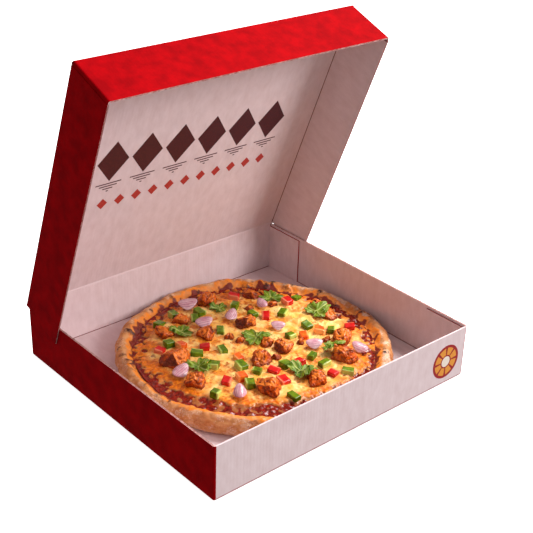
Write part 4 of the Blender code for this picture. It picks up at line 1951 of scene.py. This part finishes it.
@dataclass
class LidPrint:
    """The print inside the lid: a row of lozenges on stacked bars, over a row of dots."""

    thickness: float = 0.05 * MM
    large: dict = field(default_factory=lambda: {
        "Count": 6, "Pitch": 0.034, "Width": 0.031, "Height": 0.043, "Bars": 4, "Bar Pitch": 0.0028})
    small: dict = field(default_factory=lambda: {
        "Count": 11, "Pitch": 0.0174, "Width": 0.0105, "Height": 0.012, "Bars": 0, "Bar Pitch": 0.002})
    large_at: tuple = (0.002, -0.150)
    small_at: tuple = (0.002, -0.103)

    def tree(self) -> bpy.types.GeometryNodeTree:
        """Builds the tree that sets the shapes in a row.

        Returns:
            The tree.
        """
        sizes = {"Count": "Int", "Pitch": "Float", "Width": "Float", "Height": "Float", "Bars": "Int",
                 "Bar Pitch": "Float", "Depth": "Float", "Ink": "Material"}
        tree, given = start_tree("printed_row", sizes)
        half = add(tree, "ShaderNodeCombineXYZ",
                   {"X": given["Width"], "Y": given["Height"], "Z": given["Depth"]})
        stamp = add(tree, "GeometryNodeMeshCylinder", {"Vertices": 4, "Radius": 0.5, "Depth": 1.0})
        lozenge = add(tree, "GeometryNodeTransform", {"Geometry": stamp, "Scale": half})
        down = add(tree, "ShaderNodeMath", {0: given["Bar Pitch"], 1: -1.0}, operation="MULTIPLY")
        step = add(tree, "ShaderNodeCombineXYZ", {"Y": down})
        first = add(tree, "ShaderNodeMath", {0: given["Height"], 1: -0.56}, operation="MULTIPLY")
        start = add(tree, "ShaderNodeCombineXYZ", {"Y": first})
        stack = add(tree, "GeometryNodeMeshLine",
                    {"Count": given["Bars"], "Start Location": start, "Offset": step})
        place = add(tree, "GeometryNodeInputIndex")
        share = add(tree, "ShaderNodeMath", {0: place, 1: given["Bars"]}, operation="DIVIDE")
        left = add(tree, "ShaderNodeMath", {0: 0.82, 1: share}, operation="SUBTRACT")
        long = add(tree, "ShaderNodeMath", {0: left, 1: given["Width"]}, operation="MULTIPLY")
        thin = add(tree, "ShaderNodeMath", {0: given["Bar Pitch"], 1: 0.42}, operation="MULTIPLY")
        bar_size = add(tree, "ShaderNodeCombineXYZ", {"X": long, "Y": thin, "Z": given["Depth"]})
        bar = add(tree, "GeometryNodeMeshCube", {"Size": (1.0, 1.0, 1.0)})
        bars = add(tree, "GeometryNodeInstanceOnPoints",
                   {"Points": stack, "Instance": bar, "Scale": bar_size})
        mark = add(tree, "GeometryNodeJoinGeometry")
        for part in (lozenge, bars):
            tree.links.new(part.outputs[0], mark.inputs[0])
        pitch = add(tree, "ShaderNodeCombineXYZ", {"X": given["Pitch"]})
        line = add(tree, "GeometryNodeMeshLine", {"Count": given["Count"], "Offset": pitch})
        row = add(tree, "GeometryNodeInstanceOnPoints", {"Points": line, "Instance": mark})
        return end_tree(tree, row, given["Ink"])

    def build(self, box: CardboardBox) -> None:
        """Prints both rows on the lid's inner face.

        Args:
            box: the box that gets them.
        """
        tree = self.tree()
        inner = box.lid_high.z - box.board
        rows = (
            ("large_print_row", self.large, self.large_at, PrintInk("maroon_ink", "3A060E", "520C16")),
            ("small_print_row", self.small, self.small_at, PrintInk("brick_red_ink", "A3201C", "BE3A30")),
        )
        for name, sizes, (x, y), ink in rows:
            mesh = plain_mesh(name, tree, {**sizes, "Depth": self.thickness, "Ink": ink.make()})
            shift = Vector((x - sizes["Pitch"] * (sizes["Count"] - 1) / 2, y, inner - self.thickness * 0.4))
            mesh.transform(box.lid_place @ Matrix.Translation(shift) @ Matrix.Diagonal((1, -1, 1, 1)))
            mesh.flip_normals()
            hand_over(placed(name, mesh), Body.LID, Slot.BOARD)


@dataclass
class WallBadge:
    """A round printed mark on the front wall: a ring, wedges and a pale middle."""

    at: tuple = (0.115, 0.023)
    radius: float = 0.0162
    wedges: int = 8
    wedge_gap: float = 0.09
    thickness: float = 0.04 * MM
    sunk: float = 0.02 * MM

    def arc(self, radius: float, inner: float, start: float, stop: float, level: int) -> list:
        """The outline of a ring's part.

        Args:
            radius: its outer radius.
            inner: its inner radius.
            start: its first angle.
            stop: its last angle.
            level: 0 for ink on the wall, 1 for ink on another ink.

        Returns:
            Inner point, outer point and height above the wall, for each step.
        """
        steps = max(2, round((stop - start) / math.radians(6)))
        layer = self.thickness * (1 + level)
        points = []
        for k in range(steps + 1):
            a = start + (stop - start) * k / steps
            c, s = math.cos(a), math.sin(a)
            points.append((inner * c, inner * s, radius * c, radius * s, layer))
        return points

    def build(self, box: CardboardBox) -> None:
        """Prints the mark in three inks.

        Args:
            box: the box that gets it.
        """
        r, gap = self.radius, self.wedge_gap
        turns = [FULL_TURN * k / self.wedges for k in range(self.wedges + 1)]
        wedges = [(r * 0.84, r * 0.40, low + gap, high - gap, 1) for low, high in zip(turns, turns[1:])]
        parts = {
            "badge_ring": (PrintInk("deep_red_ink", "8C0C12", "AA161C"), [(r, 0.0, 0.0, FULL_TURN, 0)]),
            "badge_wedges": (PrintInk("amber_ink", "D9822A", "EBA23C"), wedges),
            "badge_middle": (PrintInk("cream_ink", "E6D3C0", "F4E8DC"), [(r * 0.32, 0.0, 0.0, FULL_TURN, 1)]),
        }
        x0, z0 = self.at
        y0 = box.low.y
        for name, (ink, patches) in parts.items():
            shape = bmesh.new()
            for patch in patches:
                rows = []
                for ax, az, bx, bz, layer in self.arc(*patch):
                    spots = ((ax, az, -layer), (bx, bz, -layer), (bx, bz, self.sunk), (ax, az, self.sunk))
                    rows.append([shape.verts.new((x0 + x, y0 + y, z0 + z)) for x, z, y in spots])
                for a, b in zip(rows, rows[1:]):
                    for k in range(4):
                        m = (k + 1) % 4
                        shape.faces.new((a[k], a[m], b[m], b[k]))
                if patch[3] - patch[2] < FULL_TURN - 0.01:
                    shape.faces.new(rows[0][::-1])
                    shape.faces.new(rows[-1])
            bmesh.ops.remove_doubles(shape, verts=shape.verts, dist=0.000001)
            bmesh.ops.dissolve_degenerate(shape, edges=shape.edges, dist=0.000001)
            bmesh.ops.recalc_face_normals(shape, faces=shape.faces)
            hand_over(placed(name, mesh_of(shape, name, ink.make())), Body.TRAY, Slot.BOARD)


@dataclass
class Studio:
    """A pale floor, soft light from the front right, and the photograph's camera."""

    frame_px: float = 533.0
    azimuth: float = math.radians(-42.29)
    elevation: float = math.radians(27)
    roll: float = math.radians(2.25)
    distance: float = 0.9738
    focal_px: float = 1126.9
    target: tuple = (0.0315, -0.0064, 0.100)
    centre_px: tuple = (281.5, 257.1)
    air: float = 0.38

    def camera(self) -> None:
        """Sets the camera at the photograph's angle."""
        data = bpy.data.cameras.new("photo_camera")
        obj = placed("photo_camera", data)
        az, el = self.azimuth, self.elevation
        back = Vector((math.sin(az) * math.cos(el), -math.cos(az) * math.cos(el), math.sin(el)))
        right = Vector((math.cos(az), math.sin(az), 0))
        up = back.cross(right)
        c, s = math.cos(self.roll), math.sin(self.roll)
        turned = (right * c + up * s, up * c - right * s, back)
        place = Matrix.Identity(4)
        for column, axis in enumerate(turned):
            for row in range(3):
                place[row][column] = axis[row]
        place.translation = Vector(self.target) + back * self.distance
        obj.matrix_world = place
        data.sensor_width = 36.0
        data.lens = self.focal_px * data.sensor_width / self.frame_px
        data.shift_x = (self.frame_px / 2 - self.centre_px[0]) / self.frame_px
        data.shift_y = (self.centre_px[1] - self.frame_px / 2) / self.frame_px
        data.clip_end = 20
        bpy.context.scene.camera = obj

    def softbox(self, name: str, spot: tuple, aim: tuple, size: float, power: float, tint: tuple) -> None:
        """Adds a square area light.

        Args:
            name: its name.
            spot: its place.
            aim: the point that it faces.
            size: the length of its side.
            power: its power in watts.
            tint: its colour.
        """
        data = bpy.data.lights.new(name, "AREA")
        data.shape = "SQUARE"
        data.size = size
        data.energy = power
        data.color = tint
        obj = placed(name, data)
        obj.location = spot
        obj.rotation_euler = (Vector(aim) - Vector(spot)).to_track_quat("-Z", "Y").to_euler()

    def floor(self) -> None:
        """A plain pale floor, large enough to fill every view."""
        shape = bmesh.new()
        bmesh.ops.create_grid(shape, x_segments=1, y_segments=1, size=6.0)
        inputs = {"Roughness": 0.9, "Emission Color": (1.0, 1.0, 1.0, 1.0), "Emission Strength": 0.85}
        paper = Surface("pale_paper_floor").finish((0.9, 0.9, 0.9, 1.0), inputs)
        obj = placed("studio_floor", mesh_of(shape, "studio_floor", paper))
        obj.location.z = -0.3 * MM
        obj.visible_diffuse = False
        obj.visible_glossy = False

    def build(self) -> None:
        """Builds the studio."""
        scene = bpy.context.scene
        scene.view_settings.view_transform = "Standard"
        world = bpy.data.worlds.new("studio_air")
        world.use_nodes = True
        air = world.node_tree.nodes["Background"]
        seen = add(world.node_tree, "ShaderNodeLightPath").outputs["Is Camera Ray"]
        strength = add(world.node_tree, "ShaderNodeMapRange",
                       {"Value": seen, "To Min": self.air, "To Max": 1.0})
        feed(world.node_tree, air, {"Color": (1.0, 1.0, 1.0, 1.0), "Strength": strength})
        scene.world = world
        self.floor()
        self.softbox("front_softbox", (1.20, -1.80, 1.25), (0.0, 0.0, 0.10), 0.9, 45.0, (1.0, 0.98, 0.97))
        self.softbox("top_softbox", (1.05, 0.05, 1.55), (0.0, 0.0, 0.0), 0.8, 48.0, (1.0, 0.98, 0.96))
        self.camera()


def main() -> None:
    """Builds the box, the pizza and the studio."""
    logging.basicConfig(level=logging.INFO, format="%(name)s: %(message)s")
    box = CardboardBox()
    box.build()
    LidPrint().build(box)
    WallBadge().build(box)
    plan = PizzaPlan()
    Crust(plan).build()
    cheese = Cheese(plan).build()
    Chicken(plan).build()
    PepperDice(plan).build()
    Onion().build()
    Coriander().build()
    SpiceFlecks().build(cheese)
    Studio().build()


if __name__ == "__main__":
    main()
